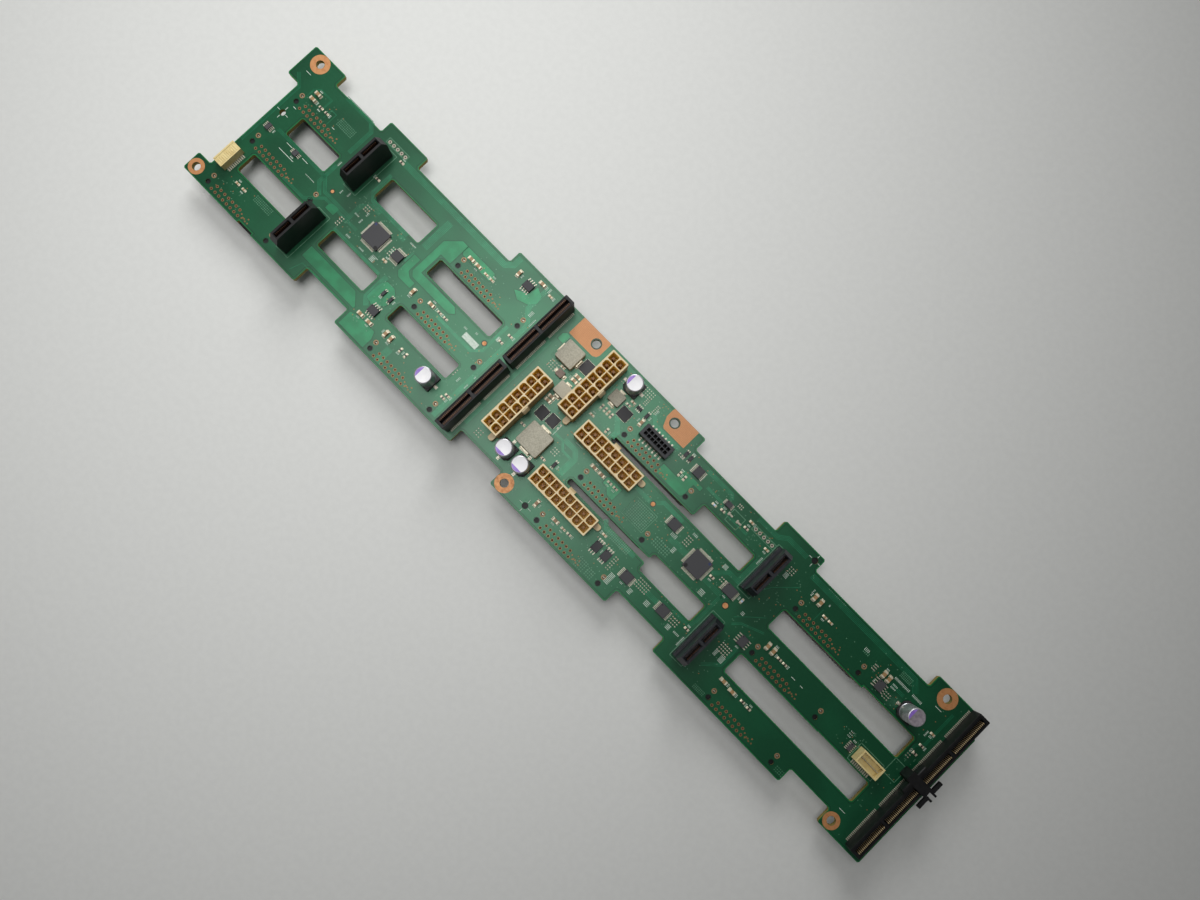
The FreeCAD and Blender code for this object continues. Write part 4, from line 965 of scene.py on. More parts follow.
class Keepout:
    """Tells where flat artwork may lie: on the board, clear of its edges, windows and holes."""

    def __init__(self) -> None:
        """Gather the board's top edges from its mesh: edges of upward faces that one such face has."""
        places, faces = triangles("circuit_board", 3)
        top = faces[(places[faces][:, :, 2] > TOP - 0.01).all(1)]
        edges = np.concatenate([top[:, [0, 1]], top[:, [1, 2]], top[:, [2, 0]]])
        key = np.sort(edges, axis=1)
        _, where, count = np.unique(key, axis=0, return_index=True, return_counts=True)
        self.edges = edges[where[count == 1]]
        self.places = places[:, :2]
        self.start, self.end = self.places[self.edges[:, 0]], self.places[self.edges[:, 1]]

    def clear(self, places: np.ndarray, margin: float) -> np.ndarray:
        """Tell which places are on the board and at least a margin from its edges.

        A place is inside if a line from it along +X crosses the edges an odd number of times. Its
        distance to an edge is to the nearest point of that edge: start + t (end - start), with t kept
        from 0 to 1.

        Args:
            places: rows of x and y.
            margin: the distance to keep.

        Returns:
            True or False for each place.
        """
        run = self.end - self.start
        gap = places[:, None, :] - self.start[None]
        t = np.clip((gap * run).sum(-1) / (run ** 2).sum(-1), 0, 1)
        near = np.linalg.norm(gap - t[..., None] * run, axis=-1).min(1)
        low, high = places[:, None, 1] >= self.start[:, 1], places[:, None, 1] >= self.end[:, 1]
        slope = run[:, 0] / np.where(run[:, 1] == 0, TINY, run[:, 1])
        meet = self.start[:, 0] + (places[:, None, 1] - self.start[:, 1]) * slope
        crossings = ((low != high) & (places[:, None, 0] < meet)).sum(1)
        return (crossings % 2 == 1) & (near > margin)


KEEPOUT = Keepout()


@dataclass
class EdgeLines:
    """The line just inside the board's edges where its inner copper stops."""

    lines: Path = ((0.02, 0.42), (0.8, 0.22))
    shortest: float = 0.97

    def build(self) -> Pieces:
        """Build the lines: each edge moves inwards by its normal, and corners by both edges' mitre.

        The edges run with the board on their left, so the inward normal is the run turned left. A
        corner's move is the sum of its two normals over one plus their cosine. Edges shorter than
        the shortest cut corner belong to holes and get no line.

        Returns:
            One piece, on both sides of the board.
        """
        run = KEEPOUT.end - KEEPOUT.start
        length = np.linalg.norm(run, axis=1)
        normal = np.column_stack([-run[:, 1], run[:, 0]]) / length[:, None]
        arriving, leaving = np.zeros_like(KEEPOUT.places), np.zeros_like(KEEPOUT.places)
        arriving[KEEPOUT.edges[:, 1]] = normal
        leaving[KEEPOUT.edges[:, 0]] = normal
        mitre = (arriving + leaving) / (1 + (arriving * leaving).sum(1))[:, None]
        ends = KEEPOUT.edges[length > self.shortest]
        place, move = KEEPOUT.places[ends], mitre[ends]
        forms = []
        for paint, (inset, width) in enumerate(self.lines):
            near, far = place + move * inset, place + move * (inset + width)
            points = np.concatenate([near, far[:, ::-1]], 1).reshape(-1, 2)
            height = np.full(len(points), Layer.EDGE.height)
            quads = np.arange(len(points)).reshape(-1, 4)
            forms.append(Form(np.column_stack([points, height]), [(quads, paint)]))
        return [Form.joined(forms).on_both_sides().piece("edge_lines", [RIM, GAP], "board_laminate")]


@dataclass
class CopperLands:
    """Bare copper round the screw holes, and small round targets."""

    bore: float = 2.05
    rays: int = 60
    # The radius and depth of black discs in two holes: painted shadow.
    shadow_radius: float = 1.7
    shadow_depth: float = 0.7
    moat: float = 0.45
    rings: tuple[tuple[float, float, float], ...] = (
        (-167.2, 47.2, 4.75), (-170.9, -26.4, 3.9), (32.1, -26.2, 4.5), (236.4, 47.2, 4.75),
        (236.6, -26.3, 3.95))
    targets: tuple[tuple[float, float, float], ...] = (
        (-119, 10.1, 0.8), (-19.7, 11.1, 1), (85.1, 14.7, 1), (139.3, 6.1, 1.25))
    shadow_discs: Path = ((153.3, 48.5), (45.8, -26.5))
    shields: tuple[tuple[Point, Path], ...] = (
        ((15.8, 47.2), ((3.4, 42.2), (3.7, 41.9), (18.2, 41.9), (19.9, 42.7), (20.7, 44.4), (20.7, 51.7),
                        (20.4, 52), (3.7, 52), (3.4, 51.7))),
        ((66.2, 47.2), ((63.4, 42.6), (64.4, 41.9), (76.6, 41.9), (76.9, 42.2), (76.9, 51.7), (76.6, 52),
                        (61.9, 52), (61.4, 51), (61.4, 47))),
    )

    def shield(self, hole: Point, outline: Sequence[Point]) -> Form:
        """Make a land between a screw hole and an outline.

        Rays from the hole's middle at even angles are cut by each side of the outline: along the ray
        by (a x side) / (ray x side), where a runs from the middle to the side's start. The nearest
        cut ahead is the land's edge, so the band between it and the hole fills the outline.

        Args:
            hole: the screw hole's middle.
            outline: the land's corners, counter-clockwise or not.

        Returns:
            The flat land.
        """
        corners = np.asarray(outline, float) - hole
        sides = np.roll(corners, -1, axis=0) - corners
        bends = np.arctan2(corners[:, 1], corners[:, 0])
        even = np.linspace(-math.pi, math.pi, self.rays, endpoint=False)
        angles = np.sort(np.concatenate([even, bends]))
        rays = np.column_stack([np.cos(angles), np.sin(angles)])
        down = rays[:, None, 0] * sides[:, 1] - rays[:, None, 1] * sides[:, 0]
        down = np.where(np.abs(down) < TINY, TINY, down)
        along = (corners[:, 0] * sides[:, 1] - corners[:, 1] * sides[:, 0]) / down
        share = (corners[:, 0] * rays[:, None, 1] - corners[:, 1] * rays[:, None, 0]) / down
        ahead = (along > 0) & (share > -1e-6) & (share < 1 + 1e-6)
        hit = np.where(ahead, along, np.inf).min(1)
        return annulus(rays * hit[:, None], rays * (self.bore + 0.55), Layer.LAND.height, 1).moved(*hole)

    def build(self) -> Pieces:
        """Build the rings, shields and targets, a dark ring round each target, and a black disc in two holes
        as painted shadow.

        Returns:
            One piece. Its rings are also on the hidden side.
        """
        height = Layer.LAND.height
        forms = [washer(radius, self.bore, 56, height).moved(x, y) for x, y, radius in self.rings]
        forms += [form.below() for form in forms]
        for hole, outline in self.shields:
            forms.append(self.shield(hole, outline))
            forms.append(washer(self.bore + 0.5, self.bore, 48, height, 2).moved(*hole))
        # A black disc sunk in each of two holes: painted shadow of the shaded floor seen through them.
        forms += [disc(self.shadow_radius, 20, TOP - self.shadow_depth, 3).moved(x, y) for x, y in self.shadow_discs]
        for x, y, radius in self.targets:
            forms.append(washer(radius + self.moat, radius, 28, Layer.VIA.height, 2).moved(x, y))
            forms.append(disc(radius, 28, height).moved(x, y))
        return [Form.joined(forms).piece("copper_lands", [COPPER, PASTED, GAP, BLACK], "board_laminate")]


@dataclass
class ReceptacleHoles:
    """What a receptacle shows on the populated side: its pin holes, locks and pegs."""

    peg_reach: float = 19.425
    lock_shift: float = 3.75
    pitch: float = 2.54
    upper: tuple[float, float, int] = (-14.575, 1.3, 7)
    lower: tuple[float, float, int] = (-15.875, -1.25, 8)
    bore: float = 0.46
    land: float = 0.68
    lock: tuple[float, float, float] = (1.25, 0.68, 0.6)
    peg_rim: Point = (1.42, 1.1)
    drop: Point = (0.36, 0.14)
    signals: Path = (
        (2.67, 0.6), (4.27, -0.2), (5.17, -0.2), (6.77, 1.0), (7.67, -0.7), (6.17, -0.8), (3.97, -0.8))

    def middles(self) -> np.ndarray:
        """Return the twelve receptacles' middles, from their CAD boxes."""
        return np.array([span(f"drive_receptacle_{n}").middle[:2] for n in range(1, 13)])

    def build(self) -> Pieces:
        """Build the plated rings, pin tips, lock rings and peg rims.

        Returns:
            One piece.
        """
        flat, middles = Layer.LAND.height, self.middles()
        pins = np.concatenate([lattice(rows(x, self.pitch, n), [y]) for x, y, n in (self.upper, self.lower)])
        # The pin tips take the contact metal's painted shade.
        tip = loft([rounded(0.2, 0.16), rounded(0.12, 0.1)], [flat, TOP + 0.15], 2, start=False)
        ends = self.about(middles, [(-self.peg_reach, 0), (self.peg_reach, 0)])
        outer, inner, seat = self.lock
        lock = washer(outer, inner, 28, flat, 3) + washer(inner, seat, 28, flat - 0.01, 1)
        rim = washer(*self.peg_rim, 28, Layer.VIA.height, 4)
        land, bore = self.drop
        drop = washer(land, bore, 10, flat) + disc(bore, 8, flat, 1)
        form = Form.joined([
            (eyelet(self.land, self.bore, 16, flat) + tip).at(self.about(middles, pins)),
            lock.at(ends + (0, self.lock_shift)), rim.at(ends), drop.at(self.about(middles, self.signals))])
        return [form.piece("receptacle_holes", [PLATING, HOLE, CONTACT_PAINTED_SHADE, LOCK, GAP], "board_laminate")]

    def about(self, middles: np.ndarray, places: Sequence[Point]) -> np.ndarray:
        """Return every place about every middle, as rows."""
        return (middles[:, None, :] + np.array(places)[None]).reshape(-1, 2)


@dataclass
class ScreenInk:
    """White printed lines: part outlines, boxes, ticks and plain bars, none of them lettering."""

    width: float = 0.24
    pitch: float = 0.6
    seed: int = 5
    named: tuple[str, ...] = ("small_chip_resistors", "large_chip_capacitors", "sensor_chips", "logic_chips")
    name_size: Point = (0.8, 1.8)
    name_gap: float = 0.7
    label_patch: tuple[float, float, float, float] = (-24.95, 7.4, 8.5, 3.0)
    boxes: tuple[tuple[float, float, float, float], ...] = (
        (-119.2, -106.4, 43.9, 46.5), (123.6, 136.8, 38.3, 40.9), (112.2, 119, 32.8, 39.2),
        (237.9, 244.6, 4.8, 13), (77.9, 90.6, 2, 12.1), (-118, -110.4, 16, 42.3),
        (-118, -110.4, -25.7, 0.6), (137, 144.4, 15.6, 42.2), (137, 144.4, -26.4, 0.8),
        (222.9, 236.8, -2.3, 6.7), (5.2, 18, 29.2, 40.6),
    )
    ticks: tuple[Path, ...] = (
        ((-165.9, 19.2), (-164.3, 19.2)), ((-162.4, 22.6), (-162.4, 21)), ((-160.5, 19.2), (-159, 19.2)),
        ((-162.4, 17.3), (-162.4, 15.7)), ((149.9, 48.5), (151.5, 48.5)), ((155, 48.5), (156.3, 48.5)),
        ((153.3, 50.3), (153.3, 51.6)), ((153.3, 46.7), (153.3, 45.1)), ((42.4, -26.5), (44, -26.5)),
        ((47.6, -26.5), (49.2, -26.5)), ((45.8, -24.7), (45.8, -23.1)), ((45.8, -28.3), (45.8, -29.9)),
        ((-169.5, 40.6), (-166.5, 40.6)), ((-168, -16.5), (-165, -16.5)), ((234.6, 41.2), (238.2, 41.2)),
        ((235.2, -19.9), (238.6, -19.9)), ((-161, 24.6), (-159.2, 24.6)), ((-141.4, 30.6), (-139.8, 30.6)),
        ((-151.2, 6.6), (-141.8, 6.6)), ((-150.4, 10.8), (-146.8, 10.8)), ((-140, 10.8), (-136.4, 10.8)),
        ((118.6, 15.9), (119.8, 16.6)), ((-84.6, 3), (-81.2, 3)), ((181.4, 5), (183.6, 5)),
        ((186.8, 5), (188.4, 5)), ((31.6, 9.6), (31.6, 4.2)), ((41.2, 9.4), (45.6, 9.4)),
    )
    bars: tuple[tuple[float, float, float, float], ...] = (
        (-31.6, 9.4, 2, 0.9), (-26, 11.2, 1.4, 1), (-133.8, 6.7, 6, 0.35),
        (-126.6, 20, 0.8, 2.6), (-104.6, 10.2, 2.8, 0.8), (-100.2, 13, 0.8, 2.2), (-100.2, 8.6, 0.8, 2.4),
        (-100, 0.4, 2.6, 1), (-91.6, 0.6, 3, 0.7), (-84.6, 0.2, 2.4, 3.2), (-76.8, 18.8, 3.6, 0.7),
        (-116.4, 11.8, 0.7, 2.2), (-113, 13.2, 0.9, 2.4), (213.6, 36.9, 8.8, 1.1), (224.2, 36.9, 5.6, 1.1),
        (214.8, 34.4, 3, 0.7), (214.8, 33, 3, 0.7), (195.4, 36.4, 2.8, 1.4), (216, 4.6, 2, 0.5),
        (216, 5.8, 2, 0.5), (216, 7, 2, 0.5), (239.6, 28.4, 0.8, 3), (241.6, 30.6, 2, 0.8),
        (126.4, 1.2, 2.8, 2.8), (126.2, 17, 2.4, 2.2), (106.8, 17.8, 2.8, 1.2), (93.6, -25, 2.6, 5.6),
        (104.2, -21, 2, 2.6), (113, -19.4, 2.6, 2.6), (127, -19.8, 2.2, 2.4), (131, -18.6, 3.4, 0.9),
        (147.6, 33.4, 2.2, 2.6), (146.4, 8.2, 1.6, 1.8), (149.8, -12.8, 1.6, 3), (153.4, -13.4, 2.4, 3.2),
        (135.8, -21.6, 0.9, 5), (135.6, 28.8, 0.9, 4), (162, 37.4, 0.7, 2.2), (171.4, 38.6, 0.7, 0.9),
        (-16.8, 47.6, 1, 2.6), (-15.4, 34, 1.6, 3), (-17.4, 15.6, 1.6, 2.6), (-11.6, 30.8, 0.7, 4.4),
        (-11.6, -3.4, 0.7, 1.2), (-11.6, -9.6, 0.7, 2.4), (-16.4, -10, 0.9, 2.6), (56.8, 43.4, 1, 2.6),
        (99.8, 10.6, 3.4, 1.8), (105, 5.4, 1.8, 2.8),
    )

    def hatch(self, x: float, y: float, size_x: float, size_y: float) -> Form:
        """Return a bar as even ticks across its longer side, each as long as the bar is wide.

        Args:
            x: the bar's lower corner in X.
            y: the bar's lower corner in Y.
            size_x: its size in X.
            size_y: its size in Y.

        Returns:
            The ticks as one form.
        """
        along, across = max(size_x, size_y), min(size_x, size_y)
        count = max(2, int(along / self.pitch))
        step = along / count
        tick = plate(rounded(self.width / 2, across / 2), Layer.INK.height)
        row = tick.at(lattice((np.arange(count) + 0.5) * step - along / 2, [0.0]))
        row = row if size_x > size_y else row.turned(90)
        return row.moved(x + size_x / 2, y + size_y / 2)

    def names(self) -> list[Form]:
        """Hatch a short row of ticks beside each small part, where a printed name would stand.

        A row is kept if it lies clear of the board's edges and of every part's box.

        Returns:
            One form for each kept row.
        """
        dice = np.random.default_rng(self.seed)
        nodes = [node for node in frame["nodes"] if node != "circuit_board"]
        boxes = [box for node in nodes if span(node).high[2] > TOP + 0.2 for box in solids(node)]
        low, high = np.array([box.low[:2] for box in boxes]), np.array([box.high[:2] for box in boxes])
        forms = []
        for box in (box for node in self.named for box in solids(node)):
            side = int(dice.integers(4))
            turn = [(1, 0), (-1, 0), (0, 1), (0, -1)][side]
            size = np.array(self.name_size if side < 2 else self.name_size[::-1])
            spot = box.middle[:2] + turn * (box.size[:2] / 2 + size / 2 + self.name_gap)
            blocked = ((spot + size / 2 + 0.3 > low) & (spot - size / 2 - 0.3 < high)).all(1).any()
            if KEEPOUT.clear(spot[None], 1.2)[0] and not blocked:
                forms.append(self.hatch(*(spot - size / 2), *size))
        return forms

    def build(self) -> Pieces:
        """Build boxes, ticks, bars and the label patch, where they lie clear of the board's edges.

        Returns:
            One piece.
        """
        height, forms = Layer.INK.height, []
        for x0, x1, y0, y1 in self.boxes:
            corners = np.array([(x0, y0), (x1, y0), (x1, y1), (x0, y1)])
            for start, end in zip(corners, np.roll(corners, -1, axis=0)):
                if KEEPOUT.clear(np.vstack([(start + end) / 2, start, end]), 0.3).all():
                    forms.append(band([start, end], self.width, height, 1))
        forms += [band(tick, self.width, height) for tick in self.ticks]
        for x, y, size_x, size_y in self.bars:
            if KEEPOUT.clear(lattice((x, x + size_x), (y, y + size_y)), 0.2).all():
                forms.append(self.hatch(x, y, size_x, size_y))
        x, y, size_x, size_y = self.label_patch
        forms.append(plate(rounded(size_x / 2, size_y / 2, 0.1), height).moved(x, y))
        return [Form.joined(forms + self.names()).piece("screen_ink", [SILK, FAINT], "board_laminate")]


@dataclass
class BarePads:
    """Unfilled solder pads: programming pads, footprints with no part, and test forks."""

    rounds: tuple[tuple[float, float, float, int], ...] = (
        (-117.7, 45, 2.54, 5), (125.1, 39.6, 2.54, 5), (31.2, 8, 1, 1), (31.2, 9.9, 1, 1))
    fields: tuple[tuple[float, float, int, float, float, int, float, float], ...] = (
        (112.4, 1, 3, 41.2, 1.2, 2, 0.5, 0.7), (50, 1.1, 2, 43.4, 0.95, 5, 0.7, 0.4),
        (55.6, 1.1, 2, 43.4, 0.95, 5, 0.7, 0.4), (77.6, 1.2, 3, 38.4, 1, 2, 0.7, 0.5),
        (104.6, 1.2, 6, -16, 1.3, 4, 0.7, 0.5), (126.6, 1.2, 4, -16.4, 1.3, 3, 0.7, 0.5),
        (150.2, 1.2, 5, -9.8, 1.3, 4, 0.75, 0.55), (148, 1.3, 3, 36.6, 1.2, 3, 0.7, 0.5),
        (90.4, 1.2, 2, -20, 1.3, 6, 0.7, 0.5), (129.6, 1.2, 4, 12.4, 1.4, 2, 0.7, 0.5),
        (106.4, 1.2, 3, 12.2, 1.3, 4, 0.7, 0.5), (6.4, 1.4, 3, -20.2, 1.4, 3, 0.8, 0.5),
        (78.4, 1.1, 10, -13, 1.2, 1, 0.45, 0.8), (-103, 1.2, 3, 14.6, 1.3, 3, 0.7, 0.5),
        (-107.2, 1.2, 2, 1, 1.3, 4, 0.7, 0.5), (-80.4, 1.2, 2, 8.2, 1.3, 4, 0.7, 0.5),
        (36, 1.2, 8, 43.4, 1.2, 3, 0.6, 0.4), (45, 1.2, 6, 46.2, 1.2, 4, 0.6, 0.45),
        (7, 1.3, 4, 24.6, 1.2, 4, 0.65, 0.45), (215.4, 1.2, 3, 27.6, 1.3, 3, 0.7, 0.5),
        (240.2, 1.2, 2, 16.8, 1.3, 4, 0.7, 0.5), (204, 1, 2, 33, 1.2, 3, 1.2, 0.45),
        (36.6, 1.2, 3, -1.6, 1.3, 3, 0.6, 0.45), (-20.4, 1.2, 2, -8.8, 1.3, 3, 0.7, 0.5),
    )
    forks: Path = ((112.8, 36.0), (118.0, 36.0))

    def build(self) -> Pieces:
        """Build round pads with a hole, and rectangular pads domed with solder.

        Returns:
            One piece.
        """
        flat, forms = Layer.PAD.height, []
        for x, y, pitch, count in self.rounds:
            size = min(0.85, pitch * 0.45)
            forms.append(eyelet(size, size / 2, 20, flat).at(lattice(rows(x, pitch, count), [y])))
        for x, pitch_x, nx, y, pitch_y, ny, size_x, size_y in self.fields:
            foot, dome = rounded(size_x / 2, size_y / 2, 0.1), rounded(size_x / 3, size_y / 3, 0.05)
            pad = loft([foot, dome], [flat, TOP + 0.1], start=False)
            places = lattice(rows(x, pitch_x, nx), rows(y, pitch_y, ny))
            forms.append(pad.at(places[KEEPOUT.clear(places, 0.9)]))
        fork = slab(2.6, 0.9, TOP, TOP + 0.5, 0.15) + slab(0.9, 1.7, TOP, TOP + 0.6, 0.15).moved(-1.1)
        forms.append(fork.at(np.array(self.forks)))
        return [Form.joined(forms).piece("bare_pads", [SOLDER, HOLE], "tinned_metal")]


# ------------ the connectors

@dataclass
class CavityBlock:
    """A connector block with a grid of cavities: each a funnel, a straight wall and a floor."""

    columns: int
    pitch: float
    half_x: float
    half_y: float
    height: float
    floor: float
    mouth: float
    bore: float
    lead_in: float
    corner: float = 0.12
    keyed: float = 0.0
    keyed_far_row: tuple[int, ...] = ()
    steps: int = 5
    paints: tuple[int, int, int] = (0, 1, 2)
    bevel: float = 0.12
    taper: float = 0.97

    def cell(self, keyed: bool) -> Form:
        """Make one cavity with its square share of the rim.

        Outlines run from the square share in to the mouth, down the funnel to the bore and down to
        the floor. A keyed cavity has two wide arcs on its -Y side.

        Args:
            keyed: whether it has the wide arcs.

        Returns:
            The cavity about its own middle.
        """
        wide = max(self.keyed, self.corner) if keyed else self.corner
        radii = np.array((self.corner, self.corner, wide, wide))
        square = rounded(self.pitch / 2, self.pitch / 2, 0.0, self.steps)
        mouth = rounded(self.mouth, self.mouth, radii, self.steps)
        bore = rounded(self.bore, self.bore, np.maximum(radii - (self.mouth - self.bore), 0.05), self.steps)
        heights = [self.height, self.height, self.height - self.lead_in, self.floor]
        top, wall, base = self.paints
        return loft([square, mouth, bore, bore * self.taper], heights, (top, wall, wall, base), start=False)

    def form(self) -> Form:
        """Make the block: its cells in two rows, its rim and its outer walls.

        Returns:
            The block about its own middle, from height 0.
        """
        forms = []
        for row, sign in enumerate((-1, 1)):
            for index, x in enumerate(centred(self.pitch, self.columns)):
                keyed = (index in self.keyed_far_row) == (row == 1) and self.keyed > 0
                forms.append(self.cell(keyed).moved(x, sign * self.pitch / 2))
        inner = rounded(self.columns * self.pitch / 2, self.pitch)
        rim = rounded(self.half_x - self.bevel, self.half_y - self.bevel, self.bevel)
        outer = rounded(self.half_x, self.half_y, self.bevel * 2)
        heights = [0.0, self.height - self.bevel, self.height, self.height]
        top = self.paints[0]
        forms.append(loft([outer, outer, rim, inner], heights, (3, top, top), end=False))
        return Form.joined(forms)


@dataclass
class PowerHeaders:
    """The four sixteen-way power headers, each with keyed cavities, a latch ramp and a peg ear."""

    columns: int = 8
    pitch: float = 4.2
    half_x: float = 17.3
    half_y: float = 4.75
    floor: float = 3.0
    rib: float = 0.5
    latch_width: float = 3.4
    latch_reach: float = 1.6
    ear_length: float = 3.2
    ear_width: float = 2.9
    ear_height: float = 3.4
    ear_shift: float = 2.2
    turns: tuple[float, ...] = (-90, -90, 0, 0)
    joint: Path = ((1.0, 0.0), (0.7, 0.25), (0.42, 0.8), (0.3, 1.5))

    def housing(self, height: float) -> Form:
        """Make one housing about its middle, with its latch on +Y and its ear on +X.

        Args:
            height: how far it stands above the board.

        Returns:
            The housing, from height 0.
        """
        block = CavityBlock(self.columns, self.pitch, self.half_x, self.half_y, height, self.floor,
                            mouth=1.87, bore=1.8, lead_in=0.25, keyed=1.35, keyed_far_row=(0, 3, 4, 7))
        near, far, top = self.half_y, self.half_y + self.latch_reach, height - 0.4
        ramp = np.array([(near, top - 2.9), (far, top - 2.9), (far, top - 2.2), (near + 0.45, top),
                         (near, top)])
        latch = loft([ramp, ramp], [-self.latch_width / 2, self.latch_width / 2]).upright().turned(90)
        half, width = self.ear_length / 2, self.ear_width / 2
        radii = (width * 0.8, 0.0, 0.0, width * 0.8)
        foot, edge = rounded(half, width, radii, 5), rounded(half - 0.15, width - 0.15, radii, 5)
        ear = loft([foot, foot, edge], [0.0, self.ear_height - 0.15, self.ear_height])
        # The ribs take finish 3, the side walls' painted shade.
        rib = slab(self.rib, self.rib, 0.0, height - 1.0, 0.1, 3)
        ribs = rib.at(lattice(centred(self.pitch, self.columns), [-self.half_y]))
        return Form.joined([block.form(), latch, ear.moved(self.half_x + half, self.ear_shift), ribs])

    def build(self) -> Pieces:
        """Build the four housings, each at the middle that its pins give, and the pins' joints.

        A joint's radius falls from the board outwards: a cone of four rings, mirrored to point down.

        Returns:
            The housings, then all joints as one piece.
        """
        # Rims in the nylon's own cream; cavity walls, floors, outer walls and ribs in painted glow and
        # painted shade.
        made, joints, nylon = [], [], [CREAM, NYLON_WALL_PAINTED_GLOW, NYLON_FLOOR_PAINTED_GLOW_AND_SHADE, NYLON_SIDE_PAINTED_SHADE]
        for number, turn in enumerate(self.turns, start=1):
            node = f"power_header_{number}"
            pins = solids(f"power_header_pins_{number}")
            middle = (np.min([pin.low for pin in pins], 0) + np.max([pin.high for pin in pins], 0)) / 2
            form = self.housing(span(node).high[2] - TOP).turned(turn).on_board(middle)
            made.append(form.piece(f"keyed_{node}", nylon, "header_plastic", [node]))
            joints += [pin.middle[:2] for pin in pins]
        rings, rises = [ring(radius, 14) for radius, _ in self.joint], [rise for _, rise in self.joint]
        cone = loft(rings, rises, start=False)
        under = Form(cone.points * (1, -1, -1), cone.patches).moved(z=UNDER)
        made.append(under.at(np.array(joints)).piece("header_solder_joints", [SOLDER], "tinned_metal"))
        return made


@dataclass
class ContactRows:
    """Single contacts and feet in place of a connector's plain rows."""

    node: str
    pitch: float
    width: float
    metal: Finish
    foot_metal: Finish
    skip_tall: bool = False
    flat: float = 0.6
    thinned: float = 0.6

    def build(self) -> Pieces:
        """Build a contact at each pitch of every row.

        A row's box gives its run along Y, its side and its height. Tall rows are springs in a slot
        and flat ones are feet on the board. A spring is a strip that thins at its top.

        Returns:
            One piece.
        """
        forms = []
        for box in solids(self.node):
            deep, run, tall = box.size
            if tall > self.flat and self.skip_tall:
                continue
            if tall > self.flat:
                blunt, tip = rounded(deep / 2, self.width / 2), rounded(deep / 3, self.width / 2)
                form = loft([blunt, blunt, tip], [box.low[2], box.high[2] - self.thinned, box.high[2]])
            else:
                form = slab(deep, self.width, SEAT, TOP + 0.28, 0.06, 1)
                form += plate(rounded(deep / 2 + 0.25, self.width / 2 + 0.07), Layer.LAND.height, 1)
            count = int((run - self.width) / self.pitch) + 1
            forms.append(form.at(lattice([box.middle[0]], box.middle[1] + centred(self.pitch, count))))
        finishes = [self.metal, self.foot_metal]
        return [Form.joined(forms).piece(f"single_{self.node}", finishes, "gold_contact", [self.node])]


@dataclass
class CombSockets:
    """Two card sockets end to end whose side walls are combs of thin ribs with a contact in each gap."""

    nodes: tuple[str, ...]
    metal: Finish
    bevel: float = 0.12
    lip: float = 0.4
    end_wall: float = 1.3
    key_share: float = 0.5
    ledge: float = 0.7
    slot: float = 1.7
    depth: float = 6.0
    pitch: float = 0.8
    rib: float = 0.26
    tips: tuple[float, float] = (0.35, 0.35)

    def bay(self, half_x: float, length: float, top: float) -> Form:
        """Make one bay of a socket, along Y: rim, comb ledge, card slot, ribs and contacts.

        Args:
            half_x: half of the socket's width.
            length: the bay's length, with its share of the end walls.
            top: the rim's height.

        Returns:
            The bay about its own middle.
        """
        inner_x, half_y = half_x - self.lip, length / 2 - self.end_wall / 2
        share, rim = rounded(half_x - self.bevel, length / 2), rounded(inner_x, half_y, 0.1)
        slot = rounded(self.slot / 2, half_y, 0.1)
        ledge = top - self.ledge
        heights = [top, top, ledge, ledge, top - self.depth]
        forms = [loft([share, rim, rim, slot, slot], heights, start=False)]
        gaps = int((2 * half_y - self.rib) / self.pitch)
        side, across = inner_x - self.slot / 2, (inner_x + self.slot / 2) / 2
        for sign, tip in zip((-1, 1), self.tips):
            rib = slab(side, self.rib, ledge, top - self.bevel, 0.04).moved(sign * across)
            forms.append(rib.at(lattice([0.0], centred(self.pitch, gaps + 1))))
            low = top - self.depth * 0.7
            contact = slab(side * 0.7, self.pitch - self.rib - 0.12, low, top - tip, 0.1, 1)
            inward = contact.moved(sign * (across - side * 0.2))
            forms.append(inward.at(lattice([0.0], centred(self.pitch, gaps))))
        return Form.joined(forms)

    def build(self) -> Pieces:
        """Build each socket: an outer wall with a bevelled top edge and its bays between.

        Returns:
            One piece for all the sockets.
        """
        forms = []
        for box in map(span, self.nodes):
            half_x, half_y, top = box.size[0] / 2, box.size[1] / 2, box.size[2]
            outer = rounded(half_x, half_y, 0.25)
            rim = rounded(half_x - self.bevel, half_y - self.bevel, 0.1)
            inner = rounded(half_x - self.bevel, half_y - self.end_wall / 2)
            parts = [loft([outer, outer, rim, inner], [0.0, top - self.bevel, top, top], end=False)]
            run = box.size[1] - self.end_wall
            for low, high in ((0.0, self.key_share), (self.key_share, 1.0)):
                bay = self.bay(half_x, run * (high - low), top)
                parts.append(bay.moved(0, run * ((low + high) / 2 - 0.5)))
            forms.append(Form.joined(parts).on_board(box.middle))
        name = f"combed_{self.nodes[0]}"
        return [Form.joined(forms).piece(name, [BLACK, self.metal], "socket_plastic", self.nodes)]


@dataclass
class GuideArms:
    """The guide block's arms along the low sockets' inner wall, as one bar."""

    width: float = 1.7
    gap: float = 0.35
    depth: float = 5.0

    def build(self) -> Pieces:
        """Build one long bevelled bar as long as the guide block, beside the sockets' wall.

        Returns:
            One piece.
        """
        block, wall = span("guide_block"), span("edge_socket_1").low[0]
        bar = slab(self.width, block.size[1], block.high[2] - self.depth, block.high[2] - 0.05, 0.3)
        form = bar.moved(wall - self.gap - self.width / 2, block.middle[1])
        return [form.piece("guide_arms", [BLACK], "socket_plastic")]


